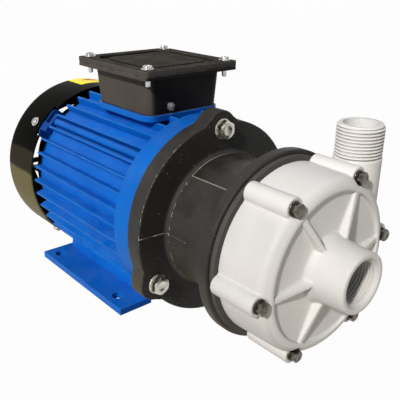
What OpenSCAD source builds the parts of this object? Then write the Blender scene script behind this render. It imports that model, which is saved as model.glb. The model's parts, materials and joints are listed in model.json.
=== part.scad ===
// Magnetic drive pump on a foot mounted motor.
// The shaft runs along X, the inlet points to +X and the outlet to +Z.
// The origin is the middle of the four foot holes, on the floor.

/* [Motor frame] */
// Height of the shaft above the floor
shaft_h = 80; // [80:0.5:95]
// Distance of the frame's front face from the middle of the foot holes
face_x = 93; // [88:0.5:98]
// Length of the finned frame
frame_len = 150; // [146:1:156]
// Length of the smooth ring at the front of the frame
ring_len = 18; // [17:0.5:24]
// Radius of the smooth ring
ring_r = 78.6; // [78:0.1:79.4]
// Radius at the foot of the fins
root_r = 71.5; // [70:0.1:73]
// Radius at the tip of the fins
fin_r = 78.4; // [76:0.1:79]
// Thickness of a fin at its tip
fin_tip = 1.8; // [1.4:0.1:2.4]
// Thickness of a fin at its foot
fin_foot = 3.4; // [2.8:0.1:4]
// Angle from one fin to the next
fin_pitch = 9.47; // [9:0.01:10]
// Angle from the top to the first fin
fin_first = 12; // [11:0.5:13]
// Radius of the screw bars between the fins
bar_r = 3.6; // [3.2:0.1:4.2]
// Angle of the screw bars from the horizontal
bar_angle = 45.6; // [44:0.1:48]

/* [Feet] */
// Foot hole spacing along the shaft
foot_hole_x = 100; // [96:1:104]
// Foot hole spacing across the shaft
foot_hole_y = 125; // [123:1:127]
// Radius of the foot holes
foot_hole_r = 5; // [4:0.1:5.5]
// Rear end of the feet
foot_rear = -63.5; // [-66:0.5:-61]
// Length of the feet
foot_len = 133.5; // [130:0.5:138]
// Distance of the outer edge of a foot from its holes
foot_edge = 10.7; // [9.5:0.1:13]
// Width of a foot
foot_w = 31; // [28:0.5:36]
// Thickness of a foot
foot_t = 5.7; // [5:0.1:7]
// Distance of the foot of the web from the shaft
web_out = 46; // [44:0.5:50]
// Height of the top of the web
web_top = 30; // [26:0.5:34]

/* [Terminal box] */
// Middle of the terminal box along the shaft
box_x = 26; // [22:0.5:28]
// Length of the pad that carries the box
pad_len = 78; // [76:0.5:83]
// Width of the pad that carries the box
pad_w = 75; // [73:0.5:81]
// Height of the top of the pad above the tips of the fins
pad_rise = 0.1; // [0:0.1:5]
// Thickness of the pad
pad_t = 4.5; // [4:0.1:6]
// Length of the box at its floor
box_len = 75; // [73:0.5:76]
// Width of the box at its floor
box_w = 71; // [69:0.5:73]
// How much the box widens to its top, on each side
box_draft = 2; // [1:0.1:3]
// Height of the box, without its gasket
box_h = 31.5; // [30:0.5:34]
// Wall of the box
box_wall = 2.6; // [2.2:0.1:3.2]
// Length of the lid
lid_len = 96; // [93:0.5:99]
// Width of the lid
lid_w = 92; // [89:0.5:95]
// Thickness of the lid
lid_t = 3.6; // [3.2:0.1:4.4]
// Thickness of the flange of the box
flange_rim_t = 2.6; // [2.2:0.1:3.2]
// Thickness of the gaskets
gasket_t = 0.8; // [0.6:0.1:1.2]
// Distance of the lid screws from the edges of the lid
lid_screw_inset = 7.5; // [6.5:0.1:8]

/* [Fan and cover] */
// Radius of the fan cover
cover_r = 78.8; // [78.5:0.1:79.4]
// Length of the fan cover
cover_len = 56; // [54:0.5:64]
// Wall of the fan cover
cover_wall = 1.2; // [1:0.1:1.6]
// Radius of the rounded rear edge of the fan cover
cover_round = 13; // [8:0.5:16]
// Radius of the fan
fan_r = 62; // [56:0.5:66]
// Depth of the fan blades
fan_depth = 18; // [14:0.5:20]
// Number of fan blades
fan_blades = 8; // [6:1:10]

/* [Motor inside] */
// Radius of the stator core
stator_r = 64; // [62:0.2:65]
// Length of the stator core
stator_len = 80; // [70:1:84]
// Radius of the rotor core
rotor_r = 38; // [36:0.2:39]
// Air gap between the rotor and the stator
air_gap = 0.4; // [0.3:0.05:0.6]
// Radius of the shaft through the rotor
shaft_core_r = 12; // [11.5:0.1:13]
// Radius of the shaft in the bearings
shaft_bearing_r = 10; // [9.6:0.1:10.5]
// Radius of the shaft at the fan
shaft_fan_r = 9; // [8.6:0.1:9.4]
// Radius of the shaft in the drive hub
shaft_drive_r = 9.5; // [9:0.1:9.6]
// Outer radius of the bearings
bearing_r = 23.5; // [23:0.1:24]
// Width of the bearings
bearing_w = 14; // [13:0.5:15]
// Radius of the bearing balls
ball_r = 4; // [3.6:0.1:4.2]
// Number of balls in a bearing
ball_count = 8; // [7:1:8]

/* [Pump bracket] */
// Thickness of the bracket's motor flange
flange_t = 14; // [13:0.5:16]
// Radius of the motor flange at its front edge
flange_front_r = 78.6; // [77.4:0.1:79]
// Radius of the bolt circle of the motor flange
bracket_bolt_circle = 73; // [72.6:0.1:73.4]
// Radius of the bolt lugs
lug_r = 14; // [13:0.2:15]
// Radius of the bracket's neck
neck_r = 53.9; // [53:0.1:56]
// Length of the bracket's neck
neck_len = 56; // [54:0.5:62]
// Wall of the bracket's neck
neck_wall = 4.4; // [4:0.1:5]
// Radius of the bracket's front ring
front_ring_r = 71.2; // [70.6:0.1:73]
// Thickness of the bracket's front ring
front_ring_t = 8.4; // [8:0.1:10]
// Fillet at both ends of the neck
neck_fillet = 3; // [2:0.5:5]

/* [Wet end] */
// Radius of the rear casing's flange
rear_flange_r = 68; // [67.6:0.1:70]
// Thickness of the rear casing's flange
rear_flange_t = 3.6; // [3.4:0.1:5]
// Inner radius of the can
can_r = 33; // [32.6:0.1:33.4]
// Wall of the can
can_wall = 2.5; // [2:0.1:2.9]
// Depth of the can behind its flange
can_depth = 48; // [47:0.5:50]
// Thickness of the can's closed end
can_end_t = 4; // [3.5:0.1:5]
// Radius of the ceramic spindle
spindle_r = 8; // [7.4:0.1:8.4]
// Radius of the impeller
impeller_r = 50; // [46:0.5:53]
// Number of impeller vanes
vane_count = 6; // [5:1:7]

/* [Front casing] */
// Radius of the front casing at its rear edge
casing_r = 64.3; // [64:0.1:66]
// Depth of the front casing
casing_len = 41; // [40:0.5:44]
// Radius of the rounded front edge
casing_round = 8; // [7:0.2:9]
// Wall of the front casing
casing_wall = 10; // [9.6:0.1:10.4]
// Depth of the recessed front face
recess_depth = 7.5; // [7:0.1:8.5]
// Radius of the bolt circle of the casing
casing_bolt_circle = 63.7; // [63.3:0.1:64]
// Angle of the first casing bolt
casing_bolt_angle = 5.2; // [3:0.1:8]
// Radius of the bolt bosses
boss_r = 7.5; // [7:0.1:8]
// Length of the inlet nozzle in front of the rim
nozzle_len = 26.3; // [24:0.5:34]
// Radius of the inlet nozzle at its mouth
nozzle_r = 21.4; // [21:0.1:23]
// Radius of the 1 inch pipe threads of the inlet and the outlet
pipe_r = 16.62; // [16.2:0.02:17]
// Depth of the inlet thread
inlet_depth = 24; // [20:0.5:26]
// Radius of the outlet tube
outlet_tube_r = 16.9; // [16.7:0.1:18]
// Radius of the outlet bore
outlet_bore_r = 12.5; // [11.5:0.1:13]
// Height of the outlet's end above the shaft
outlet_h = 88.4; // [84:0.2:100]
// Length of the outlet thread
outlet_thread_len = 23; // [18:0.5:24]

/* [Fasteners] */
// Radius of the bracket bolts
bracket_bolt_r = 4; // [3:0.1:4.2]
// Radius of the casing bolts
casing_bolt_r = 2.5; // [2.3:0.1:3.3]
// Radius of the end shield screws
tie_screw_r = 2.5; // [2:0.1:2.6]
// Radius of the small screws
small_screw_r = 2; // [1.5:0.1:2.2]

/* [Hidden] */
$fn = 64;

// Gap of pieces that are pushed together
fit_gap = 0.05;
// Gap of pieces that turn on each other
run_gap = 0.05;
// Gap of faces that turn past each other
face_gap = 0.3;
// Room round a screw in its hole
hole_gap = 0.3;
// Length by which a cut passes a face
over = 1;

// Places along the shaft, from the fan to the inlet
frame_rear = face_x - frame_len;
ring_rear = face_x - ring_len;
flange_front = face_x + flange_t;
neck_front = flange_front + neck_len;
ring_front = neck_front + front_ring_t;
casing_rear = ring_front + rear_flange_t;
casing_front = casing_rear + casing_len;
recess_floor = casing_front - recess_depth;
mouth_x = casing_front + nozzle_len;

// End shields and bearings
register_r = 68;
register_depth = 4;
shield_t = 13;
shield_front = face_x - register_depth;
shield_rear = shield_front - shield_t;
bearing_lip = 5;
bearing_front = shield_front - bearing_lip;
bearing_lip_r = 19.5;
shield_web_t = 7;
shield_web = shield_front - shield_web_t;
seat_wall = 7;
rear_plate_t = 6;
rear_bearing_inset = 1;
rear_bearing_front = frame_rear - rear_bearing_inset;
rear_bearing_rear = rear_bearing_front - bearing_w;
preload_t = 2;
preload_gap = 0.5;
preload_w = 3.5;
rear_wall_t = 4;
rear_hub_rear = rear_bearing_rear - preload_t - rear_wall_t;
spigot_len = 6;
spigot_wall = 5;
shaft_hole_gap = 2;
ear_w = 12;
ear_t = 4;
ear_sink = 8;
ear_rear = frame_rear - ear_t;
cover_lug_w = 8;
cover_lug_gap = 4;
cover_lug_in = fan_r + cover_lug_gap;
cover_lug_len = 27;
cover_lug_turn = 6.5;
cover_lug_r = cover_r - cover_wall - fit_gap;
ear_r = cover_lug_r;
plate_gap = 8;
rear_plate_r = cover_lug_r - plate_gap;
ear_in = rear_plate_r - ear_sink;
cover_ear_w = 30;
cover_ear_t = 3;
cover_ear_back = 9;
cover_ear_corner = 6;
cover_ear_flat = 0.9;
cover_ear_depth = 6;
cover_ear_r = cover_lug_r - cover_ear_flat;
cover_ear_in = cover_lug_in - cover_ear_depth;
cover_ear_front = ear_rear - cover_ear_back;
cover_ear_rear = cover_ear_front - cover_ear_t;
cover_ear_turn = 2.6;
notch_gap = 0.5;
cover_screw_back = 17;
cover_screw_len = cover_r - (cover_lug_in + cover_lug_r) / 2;
cover_head_r = 3.4;
cover_head_t = 2.2;
cover_washer_r = 4.4;
cover_washer_t = 0.8;
tie_circle = root_r;
tie_screw_len = 26;
tie_head_r = 3.5;
tie_head_t = 2.4;
tie_seat = ear_rear + tie_head_t;
foot_out = foot_hole_y / 2 + foot_edge;
web_inset = 2;
web_draft = 3;
bar_angles = four_angles(bar_angle);
cover_ear_angles = four_angles(bar_angle - cover_ear_turn);

// Stator and rotor
stator_back = 2;
stator_mid = (shield_rear + frame_rear) / 2 - stator_back;
stator_rear = stator_mid - stator_len / 2;
stator_front = stator_mid + stator_len / 2;
stator_bore = rotor_r + air_gap;
slot_count = 24;
slot_w = 4.5;
slot_depth = 16;
coil_len = 17;
coil_wall = 2.5;
coil_depth = 15;
coil_round = 5;
end_ring_t = 5;
end_ring_wall = 3;
end_ring_in = rotor_r / 2;
shaft_shoulder_front = bearing_front - bearing_w;

// Bearings
ball_circle = (bearing_r + shaft_bearing_r) / 2;
race_half = 2.5;
groove_r = ball_r + run_gap;

// Fan and its cover
cover_set_back = 3;
cover_front = ear_rear - cover_set_back;
cover_rear = cover_front - cover_len;
fan_disc_t = 2.5;
fan_hub_r = 16;
fan_space = 4;
fan_front = rear_hub_rear - fan_space;
fan_rear = fan_front - fan_disc_t - fan_depth;
blade_t = 2.4;
clip_t = 1.4;
clip_r = 13.5;
clip_groove = 0.6;
shaft_tail = 5;
shaft_rear = fan_rear - clip_t - shaft_tail;
grille_edge = 10;
grille_r = cover_r - cover_round - grille_edge;
grille_slot = 6.5;
grille_pitch = 11;
grille_first = 11;
grille_bar = 5;
grille_arms = 6;

// Terminal box
pad_h = fin_r + pad_rise;
pad_z = shaft_h + pad_h;
pad_corner = 11;
pad_neck_in = 9;
pad_neck_drop = 12;
wire_hole = [34, 22];
box_z = pad_z + gasket_t;
box_top = box_z + box_h;
box_corner = 9;
box_floor_t = 3;
box_slab_t = 0.01;
box_fn = 32;
lid_z = box_top + gasket_t;
lid_top = lid_z + lid_t;
lid_corner = 3;
gasket_in = 0.2;
lid_recess_in = 9.5;
lid_recess_depth = 2.4;
lid_panel_in = 16;
lid_panel_drop = 0.5;
lid_recess_corner = 12;
lid_screw_head_r = 3.6;
lid_screw_head_t = 2.6;
lid_washer_r = 4.8;
lid_washer_t = 0.9;
lid_screw_tail = 6;
box_screw_in = 12;
box_screw_len = 9;
board = [46, 34, 9];
stud_r = 2;
stud_h = 13;
stud_nut_r = 4;
stud_nut_t = 3.2;
stud_step = [15, 16];
earth_y = -16;
earth_up = 5.2;
earth_head_r = 3.2;
earth_head_t = 2;
gland_back = 14;
gland_x = box_x - gland_back;
gland_r = 10;
gland_hex_r = 13.6;
gland_hex_t = 5;
gland_up = 15.5;
gland_pad = 30;
gland_pad_out = 1.5;
gland_nut_len = 14;
gland_nut_r = 12.6;
gland_bore_r = 5.5;
gland_lock_t = 5;
gland_wall_t = 2;
gland_seal_len = 8;
gland_skin = 2;
box_side = box_w / 2 + box_draft;
gland_face = box_side + gland_pad_out;
gland_z = box_z + gland_up;

// Pump bracket
bracket_angles = [90, 210, 330];
lug_fillet = 40;
lug_bite = 1;
flange_lip = 0.4;
neck_in = neck_r - neck_wall;
bracket_hole_floor = 2;
bracket_hole_end = ring_rear + bracket_hole_floor;
bolt_end_gap = 1.5;
bracket_bolt_end = bracket_hole_end + bolt_end_gap;
bracket_head_r = 7.5;
bracket_head_t = 5.3;
bracket_washer_r = 8;
bracket_washer_t = 1.6;
front_ring_round = 1;

// Magnetic coupling
cup_gap = 2.4;
cup_r = neck_in - cup_gap;
cup_wall = 5;
cup_floor_t = 8;
can_end_gap = 3;
can_rear = casing_rear - can_depth - can_end_t;
cup_floor_front = can_rear - can_end_gap;
cup_rear = cup_floor_front - cup_floor_t;
cup_space = 8;
cup_front = ring_front - cup_space;
hub_boss_r = 18;
hub_space = 4;
hub_boss_rear = face_x + hub_space;
magnet_gap = 1.5;
drive_magnet_in = can_r + can_wall + magnet_gap;
drive_magnet_count = 8;
drive_magnet_slot = 4;
magnet_inset = 2;
drive_magnet_rear = cup_floor_front + magnet_inset;
drive_magnet_front = cup_front - magnet_inset;
key_w = 6;
key_h = 6;
key_len = 14;
key_up = 3;
set_screw_r = 2.5;
set_screw_inset = 4;
set_screw_angle = 0;

// Pump inside
capsule_r = can_r - magnet_gap;
impeller_space = 2;
impeller_back = casing_rear + impeller_space;
shroud_t = 3;
vane_h = 8;
vane_t = 2.6;
vane_in = 22;
vane_bend_r = 34;
vane_bend_x = 28;
eye_r = 21;
eye_wall = 2.5;
eye_len = 6;
impeller_front = impeller_back + 2 * shroud_t + vane_h;
bush_r = 11.5;
hub_r = 14.5;
spindle_socket = 8;
socket_r = 13;
can_floor = can_rear + can_end_t;
thrust_t = 3;
thrust_r = 12;
rear_thrust_x = can_floor + spindle_socket;
bush_rear = rear_thrust_x + thrust_t + face_gap;
bush_front = impeller_front;
front_thrust_x = bush_front + face_gap;
spider_rear = front_thrust_x + thrust_t;
spider_r = 11.5;
spider_len = 17;
spider_arm_t = 3;
spider_arm_len = 7;
spider_arms = 3;
spider_front = spider_rear + spider_len;
spindle_seat = 8;
spindle_front = spider_rear + spindle_seat;
spindle_lift = 1;
spindle_rear = can_floor + spindle_lift;
capsule_rear = bush_rear;
cap_t = 2.5;
inner_magnet_in = 17;
capsule_wall = 2;
capsule_end = 10;
inner_magnet_out = capsule_r - capsule_wall;
inner_magnet_front = casing_rear - capsule_end;
register_t = 4.4;
register_wall = 4;

// Front casing
casing_draft = 1;
casing_front_r = casing_r - casing_draft;
rim_flat = 0.9;
rim_in = casing_front_r - casing_round - rim_flat;
recess_slope = 1.2;
floor_rise = 1.5;
cavity_r = casing_r - casing_wall;
front_wall = 6.5;
cavity_front = recess_floor - front_wall;
nozzle_draft = 1.6;
nozzle_base_r = nozzle_r + nozzle_draft;
nozzle_fillet = 11;
mouth_chamfer = 1.2;
throat_r = 15;
rib_top = 3;
rib_foot = 7;
rib_sink = 2;
rib_drop = 1;
rib_rise = 5;
rib_hub_x = casing_front + rib_rise;
rib_floor = recess_floor - over;
boss_drop = 4.5;
boss_front = casing_front - boss_drop;
spot_depth = 0.3;
outlet_y = casing_r - outlet_tube_r;
outlet_x = casing_rear + casing_len / 2;
outlet_bore_up = cavity_r / 4;
ring_cord_r = 1.3;
ring_land = 1;
ring_out = casing_bolt_circle - casing_bolt_r - hole_gap - ring_land;
ring_circle = ring_out - fit_gap - ring_cord_r;
casing_head_r = 4.62;
casing_head_t = 3.5;
casing_washer_r = 5.3;
casing_washer_t = 1;
casing_spring_r = 4.6;
casing_spring_t = 1.3;
casing_bolt_count = 6;
casing_angles = [for (i = [0:casing_bolt_count - 1]) casing_bolt_angle + i * 360 / casing_bolt_count];
casing_bolt_end = neck_front + bolt_end_gap;

// Puts a shape that stands on Z onto the shaft, starting at x
module on_shaft(x = 0) {
    translate([x, 0, shaft_h]) rotate([0, 90, 0]) children();
}

// Turns a shape on the shaft to an angle, counted from +Y to +Z
module around(angle, radius = 0) {
    rotate([0, 0, angle + 90]) translate([radius, 0, 0]) children();
}

// A profile of [radius, x] points turned about the shaft
module turned(points) {
    on_shaft() rotate_extrude() polygon(points);
}

// A ring on the shaft from x0 to x1
module ring(x0, x1, r_out, r_in) {
    turned([[r_in, x0], [r_out, x0], [r_out, x1], [r_in, x1]]);
}

// A solid round bar on the shaft from x0 to x1
module bar(x0, x1, r) {
    on_shaft(x0) cylinder(h = x1 - x0, r = r);
}

// A flat plate with round corners, standing on z
module rounded_plate(size, corner, t) {
    linear_extrude(t) rounded_outline(size, corner);
}

module rounded_outline(size, corner) {
    square([size[0], size[1] - 2 * corner], center = true);
    square([size[0] - 2 * corner, size[1]], center = true);
    for (sx = [-1, 1], sy = [-1, 1])
        translate([sx * (size[0] / 2 - corner), sy * (size[1] / 2 - corner)]) circle(r = corner);
}

// Points of an arc
function arc(cx, cy, r, from, to, steps = 8) =
    [for (i = [0:steps])
        let (a = from + (to - from) * i / steps) [cx + r * cos(a), cy + r * sin(a)]];

// The same angle from the horizontal, above and below it on both sides
function four_angles(angle) =
    [for (turn = [0, 180], side = [-1, 1]) 90 + turn + side * (90 - angle)];

// The four corners of a rectangle
module corners(dx, dy) {
    for (sx = [-1, 1], sy = [-1, 1]) translate([sx * dx, sy * dy, 0]) children();
}

// Finned aluminium frame with cast feet and the pad for the terminal box
module motor_frame() {
    color("royalblue") difference() {
        union() {
            bar(frame_rear, ring_rear + over, root_r);
            bar(ring_rear, face_x, ring_r);
            frame_fins();
            on_shaft(frame_rear) linear_extrude(frame_len - ring_len + over)
                for (a = bar_angles) around(a, root_r + bar_r / 2) circle(r = bar_r);
            terminal_pad();
            foot();
            mirror([0, 1, 0]) foot();
        }
        bar(frame_rear - over, face_x, stator_r + fit_gap);
        bar(shield_rear, face_x + over, register_r + fit_gap);
        for (sx = [-1, 1], sy = [-1, 1])
            translate([sx * foot_hole_x / 2, sy * foot_hole_y / 2, -over])
                cylinder(h = foot_t + 2 * over, r = foot_hole_r);
        for (a = bracket_angles) on_shaft(bracket_hole_end) around(a, bracket_bolt_circle)
            cylinder(h = face_x - bracket_hole_end + over, r = bracket_bolt_r);
        for (a = bar_angles) on_shaft(frame_rear - over) around(a, tie_circle)
            cylinder(h = tie_screw_len, r = tie_screw_r);
        translate([box_x, 0, pad_z - pad_neck_drop]) box_screw_places()
            cylinder(h = pad_neck_drop + over, r = small_screw_r);
        translate([box_x - wire_hole[0] / 2, -wire_hole[1] / 2, shaft_h])
            cube([wire_hole[0], wire_hole[1], pad_h + over]);
    }
}

// Thin cast fins along the frame, a mirrored set on each side
module frame_fins() {
    fins = floor((180 - fin_first) / fin_pitch);
    for (side = [-1, 1], k = [0:fins])
        on_shaft(frame_rear) around(90 + side * (fin_first + k * fin_pitch))
            linear_extrude(frame_len - ring_len + over)
                polygon([[root_r - over, -fin_foot / 2], [fin_r, -fin_tip / 2],
                         [fin_r, fin_tip / 2], [root_r - over, fin_foot / 2]]);
}

module terminal_pad() {
    translate([box_x, 0, pad_z - pad_t]) rounded_plate([pad_len, pad_w], pad_corner, pad_t);
    neck_size = [pad_len - 2 * pad_neck_in, pad_w - 2 * pad_neck_in];
    translate([box_x, 0, pad_z - pad_neck_drop])
        rounded_plate(neck_size, pad_corner / 2, pad_neck_drop - over);
}

// A foot with the sloping web that joins it to the frame
module foot() {
    foot_in = foot_out - foot_w;
    web_in = foot_in - web_inset;
    web_len = foot_rear + foot_len - frame_rear;
    translate([foot_rear, 0, 0]) rotate([90, 0, 90]) linear_extrude(foot_len)
        polygon([[foot_in, 0], [foot_out, 0], [foot_out, foot_t], [foot_in, foot_t]]);
    translate([frame_rear, 0, 0]) rotate([90, 0, 90]) linear_extrude(web_len)
        polygon([[foot_in, foot_t / 2], [web_out, foot_t / 2], [web_out, foot_t],
                 [web_out - web_draft, web_top], [web_in, web_top]]);
}

// Plate that carries the front bearing, held in the frame by the bracket's register
module front_end_shield() {
    seat_r = bearing_r + fit_gap;
    hub_rear = bearing_front - bearing_w;
    color("lightslategray") turned([
        [bearing_lip_r, shield_front], [bearing_lip_r, bearing_front], [seat_r, bearing_front],
        [seat_r, hub_rear], [seat_r + seat_wall, hub_rear], [seat_r + seat_wall, shield_web],
        [register_r - spigot_wall, shield_web], [register_r - spigot_wall, shield_rear],
        [register_r, shield_rear], [register_r, shield_front]]);
}

// Rear plate with the bearing seat, four screw ears, and the lugs and ears for the fan cover
module rear_end_shield() {
    seat_r = bearing_r + fit_gap;
    plate_rear = frame_rear - rear_plate_t;
    color("royalblue") difference() {
        union() {
            turned([
                [shaft_fan_r + shaft_hole_gap, rear_hub_rear], [seat_r + seat_wall, rear_hub_rear],
                [seat_r + seat_wall, plate_rear], [rear_plate_r, plate_rear], [rear_plate_r, frame_rear],
                [stator_r, frame_rear], [stator_r, frame_rear + spigot_len],
                [stator_r - spigot_wall, frame_rear + spigot_len], [stator_r - spigot_wall, frame_rear],
                [seat_r, frame_rear], [seat_r, rear_bearing_rear - preload_t],
                [shaft_fan_r + shaft_hole_gap, rear_bearing_rear - preload_t]]);
            for (a = bar_angles) on_shaft(ear_rear) around(a)
                translate([ear_in, -ear_w / 2, 0]) cube([ear_r - ear_in, ear_w, ear_t]);
            for (a = bar_angles) on_shaft(ear_rear - cover_lug_len) around(a + cover_lug_turn)
                cover_lug();
            for (a = cover_ear_angles) on_shaft(cover_ear_rear) around(a) cover_ear();
        }
        for (a = bar_angles) on_shaft(ear_rear - over) around(a, tie_circle)
            cylinder(h = ear_t + 2 * over, r = tie_screw_r + hole_gap);
        for (a = bar_angles) on_shaft(plate_rear - over) around(a, tie_circle)
            cylinder(h = tie_seat - plate_rear + over, r = tie_head_r + hole_gap);
        cover_screw_places(cover_lug_in + over) cylinder(h = cover_r, r = small_screw_r);
    }
}

// The screw places of the fan cover, at a radius and pointing out
module cover_screw_places(radius) {
    for (a = bar_angles) on_shaft(cover_front - cover_screw_back) around(a + cover_lug_turn, radius)
        rotate([0, 90, 0]) children();
}

// A lug on the rear plate, under the fan cover, with a round top that the cover lies on
module cover_lug() {
    intersection() {
        translate([cover_lug_in, -cover_lug_w / 2, 0])
            cube([cover_r - cover_lug_in, cover_lug_w, cover_lug_len + over]);
        cylinder(h = cover_lug_len + over, r = cover_lug_r);
    }
}

// An ear on a lug that shows in a notch in the rim of the fan cover
module cover_ear() {
    size = [cover_ear_r - cover_ear_in, cover_ear_w];
    translate([cover_ear_in + size[0] / 2, 0, 0]) rounded_plate(size, cover_ear_corner, cover_ear_t);
}

// Four screws through the rear plate into the bars of the frame
module end_shield_screws() {
    color("silver") for (a = bar_angles) on_shaft(tie_seat) around(a, tie_circle) {
        translate([0, 0, -tie_head_t]) cylinder(h = tie_head_t, r = tie_head_r);
        cylinder(h = tie_screw_len - tie_head_t, r = tie_screw_r - fit_gap);
    }
}

// Laminated stator ring with winding slots
module stator_core() {
    color("dimgray") difference() {
        ring(stator_rear, stator_front, stator_r, stator_bore);
        for (i = [0:slot_count - 1]) on_shaft(stator_rear - over) around(i * 360 / slot_count)
            translate([stator_bore + coil_wall, -slot_w / 2, 0])
                cube([slot_depth - coil_wall, slot_w, stator_len + 2 * over]);
    }
}

// Winding heads on both ends of the stator, and the coils in its slots
module stator_windings() {
    color("peru") {
        for (head_rear = [stator_rear - coil_len, stator_front])
            turned(winding_head(head_rear, head_rear + coil_len));
        for (i = [0:slot_count - 1]) on_shaft(stator_rear - over) around(i * 360 / slot_count)
            translate([stator_bore + coil_wall + fit_gap, -slot_w / 2 + fit_gap, 0])
                cube([slot_depth - coil_wall - 2 * fit_gap, slot_w - 2 * fit_gap, stator_len + 2 * over]);
    }
}

// Rounded section of a winding head
function winding_head(x0, x1) =
    let (r0 = stator_bore + coil_wall + coil_round, r1 = stator_bore + coil_wall + coil_depth - coil_round)
    concat(
        arc(r0, x0 + coil_round, coil_round, 180, 270),
        arc(r1, x0 + coil_round, coil_round, 270, 360),
        arc(r1, x1 - coil_round, coil_round, 0, 90),
        arc(r0, x1 - coil_round, coil_round, 90, 180));

// Stepped steel shaft from the fan to the drive hub
module motor_shaft() {
    color("silver") difference() {
        turned([
            [0, shaft_rear], [shaft_fan_r, shaft_rear],
            [shaft_fan_r, fan_rear - clip_t], [shaft_fan_r - clip_groove, fan_rear - clip_t],
            [shaft_fan_r - clip_groove, fan_rear], [shaft_fan_r, fan_rear],
            [shaft_fan_r, rear_bearing_rear], [shaft_bearing_r, rear_bearing_rear],
            [shaft_bearing_r, rear_bearing_front], [shaft_core_r, rear_bearing_front],
            [shaft_core_r, shaft_shoulder_front], [shaft_bearing_r, shaft_shoulder_front],
            [shaft_bearing_r, bearing_front], [shaft_drive_r, bearing_front],
            [shaft_drive_r, cup_floor_front - fit_gap], [0, cup_floor_front - fit_gap]]);
        key_slot(fit_gap);
    }
}

module key_slot(gap) {
    on_shaft(cup_rear - key_len) around(90)
        translate([shaft_drive_r + key_up - key_h - gap, -key_w / 2 - gap, -gap])
            cube([key_h + 2 * gap, key_w + 2 * gap, key_len + cup_floor_t + over]);
}

// Rotor with its cast end rings, pressed on the shaft
module rotor_core() {
    color("slategray") difference() {
        union() {
            bar(stator_rear, stator_front, rotor_r);
            for (x = [stator_rear - end_ring_t, stator_front])
                ring(x, x + end_ring_t, rotor_r - end_ring_wall, end_ring_in);
        }
        bar(stator_rear - over, stator_front + over, shaft_core_r + fit_gap);
    }
}

// Rings and balls of a deep groove bearing from x0
module bearing_outer(x0) {
    color("gainsboro") difference() {
        ring(x0, x0 + bearing_w, bearing_r, ball_circle + race_half);
        ball_groove(x0);
    }
}

module bearing_inner(x0) {
    color("gainsboro") difference() {
        ring(x0, x0 + bearing_w, ball_circle - race_half, shaft_bearing_r + fit_gap);
        ball_groove(x0);
    }
}

module ball_groove(x0) {
    on_shaft(x0 + bearing_w / 2) rotate_extrude() translate([ball_circle, 0]) circle(r = groove_r);
}

module bearing_balls(x0) {
    color("white") on_shaft(x0 + bearing_w / 2) for (i = [0:ball_count - 1])
        around(i * 360 / ball_count, ball_circle) sphere(r = ball_r);
}

module front_bearing_outer() { bearing_outer(bearing_front - bearing_w); }
module front_bearing_inner() { bearing_inner(bearing_front - bearing_w); }
module front_bearing_balls() { bearing_balls(bearing_front - bearing_w); }
module rear_bearing_outer() { bearing_outer(rear_bearing_rear); }
module rear_bearing_inner() { bearing_inner(rear_bearing_rear); }
module rear_bearing_balls() { bearing_balls(rear_bearing_rear); }

// Spring washer that presses on the rear bearing
module preload_washer() {
    washer_r = bearing_r - preload_gap;
    color("dimgray") ring(rear_bearing_rear - preload_t, rear_bearing_rear, washer_r, washer_r - preload_w);
}

// Plastic fan with straight blades, on the rear end of the shaft
module cooling_fan() {
    color("black") difference() {
        union() {
            bar(fan_rear, fan_front, fan_hub_r);
            bar(fan_front - fan_disc_t, fan_front, fan_r);
            for (i = [0:fan_blades - 1]) on_shaft(fan_rear) around(i * 360 / fan_blades)
                translate([fan_hub_r - over, -blade_t / 2, 0])
                    cube([fan_r - fan_hub_r, blade_t, fan_depth + over]);
        }
        bar(fan_rear - over, fan_front + over, shaft_fan_r + fit_gap);
    }
}

// Retaining ring behind the fan, in the groove of the shaft
module fan_circlip() {
    color("dimgray") ring(fan_rear - clip_t, fan_rear, clip_r, shaft_fan_r - clip_groove + fit_gap);
}

// Pressed steel cover over the fan, with a round rear edge and an air grille
module fan_cover() {
    edge_r = cover_r - cover_round;
    edge_x = cover_rear + cover_round;
    outer = concat([[cover_r, cover_front]], arc(edge_r, edge_x, cover_round, 0, -90), [[0, cover_rear]]);
    inner = concat([[0, cover_rear + cover_wall]], arc(edge_r, edge_x, cover_round - cover_wall, -90, 0),
        [[cover_r - cover_wall, cover_front]]);
    color([0.08, 0.08, 0.08]) difference() {
        turned(concat(outer, inner));
        cover_grille();
        for (a = cover_ear_angles) on_shaft(cover_ear_front - notch_gap) around(a) cover_notch();
        cover_screw_places(cover_lug_in) cylinder(h = cover_r, r = small_screw_r + hole_gap);
    }
}

// Cut in the rim of the cover that leaves room for an ear
module cover_notch() {
    notch_w = cover_ear_w + 2 * notch_gap;
    notch_len = cover_front - cover_ear_front + notch_gap;
    translate([cover_lug_in, -notch_w / 2, 0])
        cube([cover_r - cover_lug_in + over, notch_w, notch_len + over]);
}

// Round air slots between the arms of the grille
module cover_grille() {
    difference() {
        for (r = [grille_first:grille_pitch:grille_r - grille_slot])
            ring(cover_rear - over, cover_rear + cover_wall + over, r + grille_slot, r);
        for (i = [0:grille_arms - 1]) on_shaft(cover_rear - 2 * over) around(i * 360 / grille_arms)
            translate([0, -grille_bar / 2, 0]) cube([cover_r, grille_bar, cover_wall + 4 * over]);
    }
}

// Small screws with washers that hold the fan cover to the lugs
module fan_cover_screws() {
    color("silver") cover_screw_places(cover_r) {
        cylinder(h = cover_washer_t, r = cover_washer_r);
        cylinder(h = cover_washer_t + cover_head_t, r = cover_head_r);
        translate([0, 0, -cover_screw_len])
            cylinder(h = cover_screw_len + over / 2, r = small_screw_r - fit_gap);
    }
}

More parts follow.
